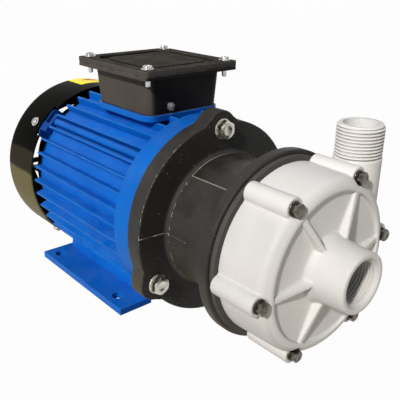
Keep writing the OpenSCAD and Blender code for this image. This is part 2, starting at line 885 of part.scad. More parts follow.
// Moulded terminal box, a little wider at its top, with a flange for the lid
module terminal_box() {
    color([0.14, 0.13, 0.12]) difference() {
        union() {
            box_form(0, box_z, box_top);
            translate([box_x, 0, box_top - flange_rim_t])
                rounded_plate([lid_len, lid_w], lid_corner, flange_rim_t);
            translate([gland_x - gland_pad / 2, box_side - 2 * box_wall, box_z + over])
                cube([gland_pad, gland_face - box_side + 2 * box_wall, box_h - flange_rim_t - over]);
        }
        difference() {
            box_form(box_wall, box_z + box_floor_t, box_top + over);
            translate([gland_x - gland_pad / 2, box_side - 2 * box_wall, box_z])
                cube([gland_pad, gland_pad, box_h]);
        }
        translate([box_x, 0, box_z - over]) {
            translate([-wire_hole[0] / 2, -wire_hole[1] / 2, 0])
                cube([wire_hole[0], wire_hole[1], 3 * box_floor_t]);
        }
        translate([box_x, 0, box_z - over]) {
            box_screw_places() cylinder(h = 3 * box_floor_t, r = small_screw_r + hole_gap);
        }
        translate([box_x, 0, box_top - flange_rim_t - over]) lid_corners()
            cylinder(h = flange_rim_t + 2 * over, r = small_screw_r);
        translate([gland_x, box_side - 4 * box_wall, gland_z]) rotate([-90, 0, 0])
            cylinder(h = 6 * box_wall + gland_pad_out, r = gland_r + hole_gap);
        translate([box_x + box_len / 2 - 4 * box_wall, earth_y, box_z + earth_up]) rotate([0, 90, 0])
            cylinder(h = 6 * box_wall, r = small_screw_r);
    }
}

// The outer form of the box, moved inwards by a wall
module box_form(wall, z0, z1) {
    hull() {
        box_slab(wall, z0);
        box_slab(wall, z1 - box_slab_t);
    }
}

module box_slab(wall, z) {
    grow = box_draft * (z - box_z) / box_h - wall;
    translate([box_x, 0, z]) linear_extrude(box_slab_t)
        rounded_outline([box_len + 2 * grow, box_w + 2 * grow], box_corner - wall, $fn = box_fn);
}

module box_screw_places() {
    corners(box_len / 2 - box_screw_in, box_w / 2 - box_screw_in) children();
}

module lid_corners() {
    corners(lid_len / 2 - lid_screw_inset, lid_w / 2 - lid_screw_inset) children();
}

// Rubber sheet under the box
module box_gasket() {
    color("black") difference() {
        translate([box_x, 0, pad_z]) rounded_plate([box_len, box_w], box_corner, gasket_t);
        translate([box_x, 0, pad_z - over]) {
            translate([-wire_hole[0] / 2, -wire_hole[1] / 2, 0])
                cube([wire_hole[0], wire_hole[1], gasket_t + 2 * over]);
            box_screw_places() cylinder(h = gasket_t + 2 * over, r = small_screw_r + hole_gap);
        }
    }
}

// Rubber frame between the box and its lid
module lid_gasket() {
    color("black") translate([box_x, 0, box_top]) difference() {
        rounded_plate([lid_len - 2 * gasket_in, lid_w - 2 * gasket_in], lid_corner, gasket_t);
        translate([0, 0, -over]) rounded_plate([box_len, box_w], box_corner, gasket_t + 2 * over);
        translate([0, 0, -over]) lid_corners()
            cylinder(h = gasket_t + 2 * over, r = small_screw_r + hole_gap);
    }
}

// Lid with a stepped round cornered recess
module terminal_box_lid() {
    recess = [lid_len - 2 * lid_recess_in, lid_w - 2 * lid_recess_in];
    panel = [lid_len - 2 * lid_panel_in, lid_w - 2 * lid_panel_in];
    color([0.12, 0.11, 0.1]) translate([box_x, 0, lid_z]) difference() {
        rounded_plate([lid_len, lid_w], lid_corner, lid_t);
        difference() {
            translate([0, 0, lid_t - lid_recess_depth]) rounded_plate(recess, lid_recess_corner, lid_t);
            rounded_plate(panel, lid_recess_corner, lid_t - lid_panel_drop);
        }
        translate([0, 0, -over]) lid_corners() cylinder(h = lid_t + 2 * over, r = small_screw_r + hole_gap);
    }
}

// Pan head screws with washers, whose ends show under the flange
module lid_screws() {
    tail = lid_t + gasket_t + flange_rim_t + lid_screw_tail;
    color("silver") translate([box_x, 0, lid_top]) lid_corners() {
        cylinder(h = lid_washer_t, r = lid_washer_r);
        cylinder(h = lid_washer_t + lid_screw_head_t, r = lid_screw_head_r);
        translate([0, 0, -tail]) cylinder(h = tail + over / 2, r = small_screw_r - fit_gap);
    }
}

// Moulded board that carries the terminals
module terminal_board() {
    color("saddlebrown") translate([box_x, 0, box_z + box_floor_t]) difference() {
        translate([-board[0] / 2, -board[1] / 2, 0]) cube(board);
        stud_places() translate([0, 0, -over]) cylinder(h = board[2] + 2 * over, r = stud_r + fit_gap);
    }
}

module stud_places() {
    for (ix = [-1:1], iy = [-0.5, 0.5]) translate([ix * stud_step[0], iy * stud_step[1], 0]) children();
}

// Brass studs with their nuts
module terminal_studs() {
    color("goldenrod") translate([box_x, 0, box_z + box_floor_t]) stud_places() {
        cylinder(h = stud_h, r = stud_r);
        translate([0, 0, board[2]]) cylinder(h = stud_nut_t, r = stud_nut_r, $fn = 6);
    }
}

// Screws through the floor of the box into the pad
module box_screws() {
    color("silver") translate([box_x, 0, box_z + box_floor_t]) box_screw_places() {
        cylinder(h = lid_screw_head_t, r = lid_screw_head_r);
        translate([0, 0, -box_screw_len]) cylinder(h = box_screw_len + over, r = small_screw_r - fit_gap);
    }
}

// Earth screw on the front of the box
module earth_screw() {
    face = box_x + box_len / 2 + box_draft * earth_up / box_h;
    color("silver") translate([face, earth_y, box_z + earth_up]) rotate([0, 90, 0]) {
        translate([0, 0, face_gap]) cylinder(h = earth_head_t, r = earth_head_r);
        translate([0, 0, -2 * box_wall]) cylinder(h = 2 * box_wall + over, r = small_screw_r - fit_gap);
    }
}

// Puts a shape that stands on Z onto the side of the box, pointing out
module on_gland(out = 0) {
    translate([gland_x, gland_face + out, gland_z]) rotate([-90, 0, 0]) children();
}

// Cable gland: threaded body with a hexagon
module gland_body() {
    inside = gland_face - box_side + 2 * box_wall + gland_lock_t;
    color("dimgray") difference() {
        union() {
            on_gland() cylinder(h = gland_hex_t, r = gland_hex_r, $fn = 6);
            on_gland(-inside) cylinder(h = inside + over, r = gland_r - fit_gap);
            on_gland(gland_hex_t - over)
                cylinder(h = gland_nut_len - gland_skin + over, r = gland_r - fit_gap);
        }
        on_gland(-inside - over) cylinder(h = 3 * gland_nut_len + inside, r = gland_r - gland_wall_t);
    }
}

// Cap nut of the gland
module gland_nut() {
    color("dimgray") difference() {
        on_gland(gland_hex_t) cylinder(h = gland_nut_len, r = gland_nut_r, $fn = 6);
        on_gland(gland_hex_t - over) cylinder(h = gland_nut_len - gland_skin + over, r = gland_r);
        on_gland(gland_hex_t) cylinder(h = gland_nut_len + over, r = gland_bore_r + over);
    }
}

// Rubber seal in the gland
module gland_seal() {
    out = gland_hex_t + gland_nut_len - gland_skin - gland_seal_len;
    color("black") difference() {
        on_gland(out) cylinder(h = gland_seal_len, r = gland_r - gland_wall_t - fit_gap);
        on_gland(out - over) cylinder(h = gland_seal_len + 2 * over, r = gland_bore_r);
    }
}

// Nut inside the box that holds the gland
module gland_locknut() {
    inside = gland_face - box_side + 2 * box_wall;
    color("dimgray") difference() {
        on_gland(-inside - gland_lock_t + over)
            cylinder(h = gland_lock_t - over, r = gland_hex_r, $fn = 6);
        on_gland(-inside - gland_lock_t) cylinder(h = gland_lock_t + over, r = gland_r);
    }
}

// Black moulded bracket between the motor and the pump
module pump_bracket() {
    color([0.12, 0.12, 0.12]) difference() {
        union() {
            turned([[neck_in - over, shield_front], [register_r, shield_front], [register_r, face_x],
                    [ring_r + flange_lip, face_x], [flange_front_r, flange_front],
                    [neck_in - over, flange_front]]);
            on_shaft(face_x) linear_extrude(flange_t) for (a = bracket_angles) around(a) bracket_lug();
            turned(neck_profile());
        }
        bar(shield_front - over, ring_front + over, neck_in);
        for (a = bracket_angles) on_shaft(face_x - over) around(a, bracket_bolt_circle)
            cylinder(h = flange_t + 2 * over, r = bracket_bolt_r + hole_gap);
        for (a = casing_angles) on_shaft(neck_front - over) around(a, casing_bolt_circle)
            cylinder(h = front_ring_t + 2 * over, r = casing_bolt_r);
    }
}

// Neck and front ring of the bracket, with fillets and a rounded ring edge
function neck_profile() = concat(
    [[neck_in - over, face_x]], [[neck_r + neck_fillet, face_x + over]],
    arc(neck_r + neck_fillet, flange_front + neck_fillet, neck_fillet, 270, 180),
    arc(neck_r + neck_fillet, neck_front - neck_fillet, neck_fillet, 180, 90),
    [[front_ring_r, neck_front]],
    arc(front_ring_r - front_ring_round, ring_front - front_ring_round, front_ring_round, 0, 90),
    [[neck_in - over, ring_front]]);

// Outline of a bolt lug that flows into the round flange
module bracket_lug() {
    reach = flange_front_r - lug_bite + lug_fillet;
    turn = acos((pow(bracket_bolt_circle, 2) + pow(reach, 2) - pow(lug_r + lug_fillet, 2))
                / (2 * bracket_bolt_circle * reach));
    side = [reach * cos(turn), reach * sin(turn)];
    difference() {
        union() {
            translate([bracket_bolt_circle, 0]) circle(r = lug_r);
            polygon([[neck_r, 0], side, [bracket_bolt_circle, 0], [side[0], -side[1]]]);
        }
        for (s = [-1, 1]) translate([side[0], s * side[1]]) circle(r = lug_fillet);
    }
}

// Hexagon bolts that hold the bracket to the motor
module bracket_bolts() {
    shank = flange_front + bracket_washer_t - bracket_bolt_end;
    color("silver") for (a = bracket_angles)
        on_shaft(flange_front + bracket_washer_t) around(a, bracket_bolt_circle) {
            cylinder(h = bracket_head_t, r = bracket_head_r, $fn = 6);
            translate([0, 0, -shank]) cylinder(h = shank + over, r = bracket_bolt_r - fit_gap);
        }
}

// Flat washers of the bracket bolts
module bracket_washers() {
    color("silver") for (a = bracket_angles) on_shaft(flange_front) around(a, bracket_bolt_circle)
        washer(bracket_washer_t, bracket_washer_r, bracket_bolt_r + hole_gap);
}

module washer(t, r_out, r_in) {
    difference() {
        cylinder(h = t, r = r_out);
        translate([0, 0, -over]) cylinder(h = t + 2 * over, r = r_in);
    }
}

// Steel cup on the motor shaft that carries the drive magnets
module drive_magnet_hub() {
    color("slategray") difference() {
        turned([
            [shaft_drive_r + fit_gap, hub_boss_rear], [hub_boss_r, hub_boss_rear], [hub_boss_r, cup_rear],
            [cup_r, cup_rear], [cup_r, cup_front], [cup_r - cup_wall, cup_front],
            [cup_r - cup_wall, cup_floor_front], [shaft_drive_r + fit_gap, cup_floor_front]]);
        key_slot(fit_gap);
        on_shaft(hub_boss_rear + set_screw_inset) around(set_screw_angle) rotate([0, 90, 0])
            cylinder(h = hub_boss_r + over, r = set_screw_r);
    }
}

// Magnet bars on the inside of the cup
module drive_magnets() {
    color("dimgray") for (i = [0:drive_magnet_count - 1]) intersection() {
        ring(drive_magnet_rear, drive_magnet_front, cup_r - cup_wall - fit_gap, drive_magnet_in);
        on_shaft(drive_magnet_rear - over) around(i * 360 / drive_magnet_count) magnet_sector();
    }
}

module magnet_sector() {
    trim = drive_magnet_slot / 2;
    far = 2 * cup_r;
    half_w = far * tan(180 / drive_magnet_count) - trim;
    linear_extrude(drive_magnet_front - drive_magnet_rear + 2 * over)
        polygon([[trim, 0], [far, half_w], [far, -half_w]]);
}

// Key between the shaft and the drive hub
module shaft_key() {
    color("silver") on_shaft(cup_rear - key_len) around(90)
        translate([shaft_drive_r + key_up - key_h, -key_w / 2, 0]) cube([key_h, key_w, key_len]);
}

// Set screw in the boss of the drive hub
module hub_set_screw() {
    color("dimgray") on_shaft(hub_boss_rear + set_screw_inset)
        around(set_screw_angle, shaft_drive_r + fit_gap) rotate([0, 90, 0])
            cylinder(h = hub_boss_r - shaft_drive_r - over, r = set_screw_r - fit_gap);
}

// Rear casing: a flange with the can that closes the pump towards the magnets
module rear_casing() {
    register_out = neck_in - fit_gap;
    register_in = register_out - register_wall;
    color([0.15, 0.15, 0.15]) difference() {
        turned([
            [0, can_rear], [can_r + can_wall, can_rear], [can_r + can_wall, ring_front],
            [register_in, ring_front], [register_in, ring_front - register_t],
            [register_out, ring_front - register_t], [register_out, ring_front],
            [rear_flange_r, ring_front], [rear_flange_r, casing_rear], [can_r, casing_rear],
            [can_r, can_floor], [socket_r, can_floor], [socket_r, rear_thrust_x],
            [spindle_r + fit_gap, rear_thrust_x], [spindle_r + fit_gap, spindle_rear], [0, spindle_rear]]);
        for (a = casing_angles) on_shaft(ring_front - over) around(a, casing_bolt_circle)
            cylinder(h = rear_flange_t + 2 * over, r = casing_bolt_r + hole_gap);
    }
}

// Rubber ring in the groove of the front casing
module casing_o_ring() {
    color("black") on_shaft(casing_rear + ring_cord_r) rotate_extrude()
        translate([ring_circle, 0]) circle(r = ring_cord_r);
}

// Closed impeller with curved vanes and the sleeve that holds its magnet
module impeller() {
    vane_x = impeller_back + shroud_t;
    color("whitesmoke") difference() {
        union() {
            bar(impeller_back, vane_x, impeller_r);
            bar(capsule_rear, impeller_back + over, capsule_r);
            bar(vane_x - over, bush_front, hub_r);
            ring(vane_x + vane_h, impeller_front, impeller_r, eye_r);
            ring(impeller_front - over, impeller_front + eye_len, eye_r + eye_wall, eye_r);
            for (i = [0:vane_count - 1]) on_shaft(vane_x - over / 2) around(i * 360 / vane_count)
                linear_extrude(vane_h + over) vane_outline();
        }
        bar(capsule_rear - over, bush_front + over, bush_r + fit_gap);
        ring(capsule_rear - over, inner_magnet_front, inner_magnet_out + fit_gap, inner_magnet_in - fit_gap);
    }
}

// One backward curved vane between the eye and the rim
module vane_outline() {
    intersection() {
        difference() {
            circle(r = impeller_r - over / 2);
            circle(r = vane_in);
        }
        translate([vane_bend_x, 0]) difference() {
            circle(r = vane_bend_r + vane_t / 2);
            circle(r = vane_bend_r - vane_t / 2);
        }
        translate([-2 * impeller_r, 0]) square([4 * impeller_r, 2 * impeller_r]);
    }
}

// Magnet ring in the sleeve of the impeller
module impeller_magnet() {
    color("dimgray") ring(capsule_rear + cap_t, inner_magnet_front, inner_magnet_out, inner_magnet_in);
}

// Welded ring that closes the magnet in
module magnet_end_cap() {
    color("whitesmoke") ring(capsule_rear, capsule_rear + cap_t, inner_magnet_out, inner_magnet_in);
}

// Carbon bush that turns on the spindle
module impeller_bush() {
    color([0.2, 0.2, 0.2]) ring(bush_rear, bush_front, bush_r, spindle_r + run_gap);
}

// Fixed ceramic spindle
module spindle() {
    color("ivory") bar(spindle_rear, spindle_front, spindle_r);
}

// Ceramic rings that take the thrust
module rear_thrust_ring() {
    color("ivory") ring(rear_thrust_x, rear_thrust_x + thrust_t, thrust_r, spindle_r + fit_gap);
}

module front_thrust_ring() {
    color("ivory") ring(front_thrust_x, spider_rear, thrust_r, spindle_r + fit_gap);
}

// White front casing: ribbed cover, bolt bosses, inlet nozzle and tangential outlet
module front_casing() {
    color([0.9, 0.9, 0.88]) union() {
        difference() {
            union() {
                casing_cup();
                turned(nozzle_profile());
                casing_ribs();
            }
            casing_hollow();
        }
        spider();
    }
}

// Cup with its bosses and outlet, the recess of its face and the spot faces of the bolts
module casing_cup() {
    difference() {
        union() {
            turned(casing_profile());
            for (a = casing_angles) on_shaft(casing_rear) around(a, casing_bolt_circle)
                cylinder(h = boss_front + spot_depth - casing_rear, r = boss_r);
            outlet_tube();
        }
        turned(recess_profile());
        for (a = casing_angles) on_shaft(boss_front) around(a, casing_bolt_circle)
            cylinder(h = casing_len, r = casing_washer_r + hole_gap);
    }
}

// Cup of the casing with its rounded front edge
function casing_profile() = concat(
    [[0, casing_rear], [casing_r, casing_rear]],
    arc(casing_front_r - casing_round, casing_front - casing_round, casing_round, 0, 90),
    [[0, casing_front]]);

// Recess of the front face inside the rim
function recess_profile() = [
    [0, recess_floor], [rim_in - recess_slope, recess_floor], [rim_in, casing_front],
    [rim_in, mouth_x], [0, mouth_x]];

// Inlet nozzle with the large fillet at its foot
function nozzle_profile() = concat(
    [[0, rib_floor], [rim_in - recess_slope, rib_floor], [rim_in - recess_slope, recess_floor]],
    arc(nozzle_base_r + nozzle_fillet, recess_floor + floor_rise + nozzle_fillet, nozzle_fillet, 270, 180),
    [[nozzle_r, mouth_x], [0, mouth_x]]);

// Drafted ribs from the rim to the nozzle, one at each bolt
module casing_ribs() {
    rib_in = nozzle_r - rib_sink;
    rib_out = rim_in + rib_sink;
    rib_h = rib_hub_x - rib_floor;
    for (a = casing_angles) on_shaft() around(a) intersection() {
        rotate([90, 0, 0]) translate([0, 0, -rib_foot]) linear_extrude(2 * rib_foot)
            polygon([[rib_in, rib_floor], [rib_out, rib_floor],
                     [rib_out, casing_front - rib_drop], [rib_in, rib_hub_x]]);
        translate([0, 0, rib_floor]) rotate([90, 0, 90]) linear_extrude(casing_r)
            polygon([[-rib_foot / 2, 0], [rib_foot / 2, 0], [rib_top / 2, rib_h], [-rib_top / 2, rib_h]]);
    }
}

// Outlet tube that leaves the casing along its side, with a plain thread blank
module outlet_tube() {
    translate([outlet_x, outlet_y, shaft_h]) {
        cylinder(h = outlet_h - outlet_thread_len, r = outlet_tube_r);
        cylinder(h = outlet_h, r = pipe_r);
    }
}

// Support of the spindle in the throat
module spider() {
    difference() {
        union() {
            bar(spider_rear, spider_front, spider_r);
            for (i = [0:spider_arms - 1]) on_shaft(spider_front - spider_arm_len)
                around(90 + i * 360 / spider_arms) translate([0, -spider_arm_t / 2, 0])
                    cube([throat_r + over, spider_arm_t, spider_arm_len]);
        }
        bar(spider_rear - over, spindle_front, spindle_r + fit_gap);
    }
}

// Everything that is open inside the casing
module casing_hollow() {
    bar(casing_rear - over, cavity_front, cavity_r);
    bar(cavity_front - over, mouth_x - inlet_depth + over, throat_r);
    bar(mouth_x - inlet_depth, mouth_x + over, pipe_r);
    turned([[0, mouth_x - mouth_chamfer], [pipe_r, mouth_x - mouth_chamfer],
            [pipe_r + mouth_chamfer + over, mouth_x + over], [0, mouth_x + over]]);
    translate([outlet_x, outlet_y, shaft_h + outlet_bore_up]) cylinder(h = outlet_h, r = outlet_bore_r);
    ring(casing_rear - over, casing_rear + 2 * ring_cord_r + fit_gap,
         ring_out, ring_circle - ring_cord_r - fit_gap);
    for (a = casing_angles) on_shaft(casing_rear - over) around(a, casing_bolt_circle)
        cylinder(h = casing_len + over, r = casing_bolt_r + hole_gap);
}

// Hexagon bolts that hold the casing to the bracket
module casing_bolts() {
    head_x = boss_front + casing_washer_t + casing_spring_t;
    color("silver") for (a = casing_angles) on_shaft() around(a, casing_bolt_circle) {
        translate([0, 0, head_x]) cylinder(h = casing_head_t, r = casing_head_r, $fn = 6);
        translate([0, 0, casing_bolt_end])
            cylinder(h = head_x - casing_bolt_end + over, r = casing_bolt_r - fit_gap);
    }
}

module bolt_ring(x, t, r) {
    for (a = casing_angles) on_shaft(x) around(a, casing_bolt_circle)
        washer(t, r, casing_bolt_r + hole_gap);
}

// Spring washers under the bolt heads
module casing_spring_washers() {
    color("dimgray") bolt_ring(boss_front + casing_washer_t, casing_spring_t, casing_spring_r);
}

// Flat washers on the bosses
module casing_washers() {
    color("silver") bolt_ring(boss_front, casing_washer_t, casing_washer_r);
}

motor_frame();
front_end_shield();
rear_end_shield();
end_shield_screws();
stator_core();
stator_windings();
motor_shaft();
rotor_core();
front_bearing_outer();
front_bearing_inner();
front_bearing_balls();
rear_bearing_outer();
rear_bearing_inner();
rear_bearing_balls();
preload_washer();
cooling_fan();
fan_circlip();
fan_cover();
fan_cover_screws();
terminal_box();
box_gasket();
lid_gasket();
terminal_box_lid();
lid_screws();
terminal_board();
terminal_studs();
box_screws();
earth_screw();
gland_body();
gland_nut();
gland_seal();
gland_locknut();
pump_bracket();
bracket_bolts();
bracket_washers();
drive_magnet_hub();
drive_magnets();
shaft_key();
hub_set_screw();
rear_casing();
casing_o_ring();
impeller();
impeller_magnet();
magnet_end_cap();
impeller_bush();
spindle();
rear_thrust_ring();
front_thrust_ring();
front_casing();
casing_bolts();
casing_spring_washers();
casing_washers();
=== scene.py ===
import json
import math

import bmesh
import bpy
from mathutils import Matrix, Vector


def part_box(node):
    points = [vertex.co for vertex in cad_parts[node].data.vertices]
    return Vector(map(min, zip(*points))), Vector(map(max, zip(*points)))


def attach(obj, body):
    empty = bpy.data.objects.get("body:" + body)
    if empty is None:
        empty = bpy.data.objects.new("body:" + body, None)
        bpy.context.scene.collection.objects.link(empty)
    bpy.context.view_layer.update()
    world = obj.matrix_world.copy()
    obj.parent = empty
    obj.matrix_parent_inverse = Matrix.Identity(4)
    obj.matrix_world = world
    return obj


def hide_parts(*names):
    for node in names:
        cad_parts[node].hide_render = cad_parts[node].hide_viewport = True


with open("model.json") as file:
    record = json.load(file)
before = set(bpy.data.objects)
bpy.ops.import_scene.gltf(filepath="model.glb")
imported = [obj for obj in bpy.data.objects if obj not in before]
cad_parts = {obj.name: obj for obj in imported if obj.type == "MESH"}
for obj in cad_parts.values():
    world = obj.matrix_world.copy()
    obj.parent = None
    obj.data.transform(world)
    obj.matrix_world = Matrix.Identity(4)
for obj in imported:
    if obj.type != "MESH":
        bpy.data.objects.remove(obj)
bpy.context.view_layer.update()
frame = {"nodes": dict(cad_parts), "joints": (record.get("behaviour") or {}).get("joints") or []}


# Motor frame: one aluminium casting with thin fins, two feet and a pad for the terminal box.
# It is sprayed blue, so the skin has a fine orange peel and the paint thins on the fin edges; those edges
# also take a painted highlight, and its faces along the shaft and the corners between its fins take painted
# shade.
MM = 0.001


def put(tree, kind, sockets=None, **settings):
    """Adds a node; sockets gives an input's name or place a value, or an output to take it from."""
    made = tree.nodes.new(kind)
    for name, value in settings.items():
        setattr(made, name, value)
    for name, value in (sockets or {}).items():
        if isinstance(value, bpy.types.NodeSocket):
            tree.links.new(value, made.inputs[name])
        else:
            made.inputs[name].default_value = value
    return made


def blend_colours(tree, share, first, second):
    mix = put(tree, "ShaderNodeMix", {0: share, 6: first, 7: second}, data_type="RGBA")
    return mix.outputs[2]


def maths(tree, operation, first, second=0.0, clamp=True):
    made = put(tree, "ShaderNodeMath", {0: first, 1: second}, operation=operation, use_clamp=clamp)
    return made.outputs[0]


def lay_over(tree, colour, mask, share, over):
    """Lays a second colour over the first where a mask is, up to a share."""
    return blend_colours(tree, maths(tree, "MULTIPLY", mask, share), colour, over)


def ramp(tree, value, low, high, start=0.0, end=1.0):
    """Takes a value from low..high to start..end, softly."""
    made = put(tree, "ShaderNodeMapRange", {0: value, 1: low, 2: high, 3: start, 4: end})
    made.interpolation_type = "SMOOTHSTEP"
    return made.outputs[0]


def shader_group(name, inputs, outputs):
    group = bpy.data.node_groups.new(name, "ShaderNodeTree")
    for label, value in inputs.items():
        socket = group.interface.new_socket(label, in_out="INPUT", socket_type="NodeSocketFloat")
        socket.default_value = value
    for label, kind in outputs.items():
        group.interface.new_socket(label, in_out="OUTPUT", socket_type="NodeSocket" + kind)
    given = group.nodes.new("NodeGroupInput")
    result = group.nodes.new("NodeGroupOutput")
    return group, given.outputs, result.inputs


def place_group(tree, group, **values):
    made = put(tree, "ShaderNodeGroup", node_tree=group)
    for name, value in values.items():
        made.inputs[name.replace("_", " ")].default_value = value
    return made.outputs


def noise(tree, scale, detail, roughness):
    """Cloudy noise over a piece, from 0 to 1."""
    place = put(tree, "ShaderNodeTexCoord").outputs["Object"]
    return put(tree, "ShaderNodeTexNoise", {"Vector": place, "Scale": scale, "Detail": detail,
                                            "Roughness": roughness}).outputs[0]


def make_skin_group():
    """Fine peel or grain as a height, and a slow change of tone."""
    group, given, result = shader_group(
        "fine skin", {"Grain Scale": 900.0, "Tone Scale": 30.0},
        {"Grain": "Float", "Tone": "Float"})
    grain = noise(group, given["Grain Scale"], detail=3.0, roughness=0.6)
    tone = noise(group, given["Tone Scale"], detail=4.0, roughness=0.6)
    group.links.new(grain, result["Grain"])
    group.links.new(ramp(group, tone, 0.3, 0.7), result["Tone"])
    return group


def make_dust_and_light_group():
    """Dust specks and a film on what faces up, a band by height for painted reflection and painted light, and
    a mask of faces along the shaft for painted shading.
    """
    rarity = 9.0
    speck_edge = 0.03
    band_waver = 16 * MM
    group, given, result = shader_group(
        "dust and painted light masks", {"Speck Scale": 200.0, "Speck Share": 0.1, "Film Scale": 40.0,
                         "Splash Top": 90 * MM, "Splash Foot": 35 * MM,
                         "Shelter Start": 0.55, "Shelter Full": 0.92, "Shelter End": 1.0},
        {"Specks": "Float", "Film": "Float", "Painted Band": "Float",
         "Painted Face Shading": "Float"})
    place = put(group, "ShaderNodeTexCoord").outputs["Object"]
    cells = put(group, "ShaderNodeTexVoronoi", {"Vector": place, "Scale": given["Speck Scale"]})
    chance = put(group, "ShaderNodeSeparateColor", {0: cells.outputs["Color"]}).outputs[0]
    size = maths(group, "MULTIPLY", maths(group, "POWER", chance, rarity), given["Speck Share"])
    speck = maths(group, "SUBTRACT", size, cells.outputs["Distance"], clamp=False)
    group.links.new(ramp(group, speck, 0.0, speck_edge), result["Specks"])
    cloud = noise(group, given["Film Scale"], detail=6.0, roughness=0.65)
    normal = put(group, "ShaderNodeNewGeometry").outputs["Normal"]
    facing = put(group, "ShaderNodeSeparateXYZ", {0: normal}).outputs
    lying = ramp(group, facing[2], -0.1, 1.0)
    film = maths(group, "MULTIPLY", lying, ramp(group, cloud, 0.35, 0.75))
    group.links.new(film, result["Film"])
    # A band by height: the materials use it for a painted reflection of the ground and painted light, and
    # only partly for dust low down.
    along_shaft, _, height = put(group, "ShaderNodeSeparateXYZ", {0: place}).outputs
    uneven = put(group, "ShaderNodeMath", {0: cloud, 1: band_waver, 2: height},
                 operation="MULTIPLY_ADD").outputs[0]
    group.links.new(ramp(group, uneven, given["Splash Top"], given["Splash Foot"]), result["Painted Band"])
    # Faces along the shaft, up to a station: the materials paint shade or light on them by the way they face.
    along = maths(group, "ABSOLUTE", facing[0])
    face_shading = ramp(group, along, given["Shelter Start"], given["Shelter Full"])
    behind = maths(group, "LESS_THAN", along_shaft, given["Shelter End"])
    group.links.new(maths(group, "MULTIPLY", face_shading, behind), result["Painted Face Shading"])
    return group


def make_edge_group():
    """Where an edge is rubbed and where it takes a painted highlight, and a normal that rounds it."""
    flat_cosine = 0.995
    edge_cosine = 0.86
    group, given, result = shader_group(
        "rubbed edge", {"Radius": 0.5 * MM, "Breakup Scale": 120.0},
        {"Edge": "Float", "Normal": "Vector"})
    rounded = put(group, "ShaderNodeBevel", {"Radius": given["Radius"]}, samples=4).outputs[0]
    true_normal = put(group, "ShaderNodeNewGeometry").outputs["Normal"]
    same = put(group, "ShaderNodeVectorMath", {0: rounded, 1: true_normal}, operation="DOT_PRODUCT")
    edge = ramp(group, same.outputs["Value"], flat_cosine, edge_cosine)
    patches = noise(group, given["Breakup Scale"], detail=3.0, roughness=0.5)
    wear_and_highlight = maths(group, "MULTIPLY", edge, ramp(group, patches, 0.35, 0.6))
    group.links.new(wear_and_highlight, result["Edge"])
    group.links.new(rounded, result["Normal"])
    return group


def make_corner_shade_group():
    """Inner corners, where light does not reach, which the materials darken as painted shade."""
    clear_share = 0.80
    deep_share = 0.30
    group, given, result = shader_group("corner_shade", {"Reach": 3 * MM}, {"Corner Shade": "Float"})
    openness = put(group, "ShaderNodeAmbientOcclusion", {"Distance": given["Reach"]},
                   samples=6, only_local=True).outputs["AO"]
    group.links.new(ramp(group, openness, clear_share, deep_share), result["Corner Shade"])
    return group


fine_skin = make_skin_group()
dust_and_light_masks = make_dust_and_light_group()
rubbed_and_lit_edge = make_edge_group()
corner_shade = make_corner_shade_group()


def new_material(name):
    material = bpy.data.materials.new(name)
    material.use_nodes = True
    tree = material.node_tree
    return material, tree, tree.nodes["Principled BSDF"].inputs


def new_skin(name, grain, tone):
    """A new material and the fine skin it has."""
    material, tree, shader = new_material(name)
    return material, tree, shader, place_group(tree, fine_skin, Grain_Scale=grain, Tone_Scale=tone)


def finish_skin(tree, shader, colour, tone, roughness, height, depth, normal=None):
    """Links a material's colour, a roughness that goes with a tone, and a fine bump."""
    tree.links.new(colour, shader["Base Color"])
    tree.links.new(ramp(tree, tone, 0.0, 1.0, *roughness), shader["Roughness"])
    sockets = {"Height": height, "Distance": depth, "Strength": 1.0}
    if normal is not None:
        sockets["Normal"] = normal
    tree.links.new(put(tree, "ShaderNodeBump", sockets).outputs[0], shader["Normal"])


def make_blue_paint(name, dark, light):
    painted_shade = (0.0008, 0.030, 0.25, 1)
    rubbed_and_lit = (0.05, 0.33, 0.92, 1)
    dust_film = (0.45, 0.42, 0.36, 1)
    dust_speck = (0.5, 0.52, 0.56, 1)
    material, tree, shader, skin = new_skin(name, grain=750.0, tone=22.0)
    edge = place_group(tree, rubbed_and_lit_edge, Radius=0.7 * MM, Breakup_Scale=90.0)
    dust_and_light = place_group(tree, dust_and_light_masks, Speck_Scale=260.0, Speck_Share=0.12, Film_Scale=55.0,
                       Shelter_Start=0.8, Shelter_Full=1.0)
    corner = place_group(tree, corner_shade, Reach=5 * MM)
    colour = blend_colours(tree, skin["Tone"], dark, light)
    # Painted shade: faces along the shaft and the corners between the fins are darkened to a deep blue.
    colour = lay_over(tree, colour, dust_and_light["Painted Face Shading"], 0.55, painted_shade)
    colour = lay_over(tree, colour, corner["Corner Shade"], 0.7, painted_shade)
    # Fin edges lightened: partly paint thinned by wear, partly a painted highlight.
    colour = lay_over(tree, colour, edge["Edge"], 0.7, rubbed_and_lit)
    colour = lay_over(tree, colour, dust_and_light["Film"], 0.05, dust_film)
    colour = lay_over(tree, colour, dust_and_light["Specks"], 0.4, dust_speck)
    finish_skin(tree, shader, colour, skin["Tone"], (0.34, 0.46), skin["Grain"], 0.05 * MM, edge["Normal"])
    shader["Specular IOR Level"].default_value = 0.07
    return material


def new_piece(name, mesh):
    piece = bpy.data.objects.new(name, mesh)
    bpy.context.scene.collection.objects.link(piece)
    return piece


def keep_mesh(bm, name):
    mesh = bpy.data.meshes.new(name)
    bm.to_mesh(mesh)
    bm.free()
    return mesh


def smooth_below(mesh, degrees):
    mesh.shade_smooth()
    mesh.set_sharp_from_angle(angle=math.radians(degrees))


nodes = frame["nodes"]


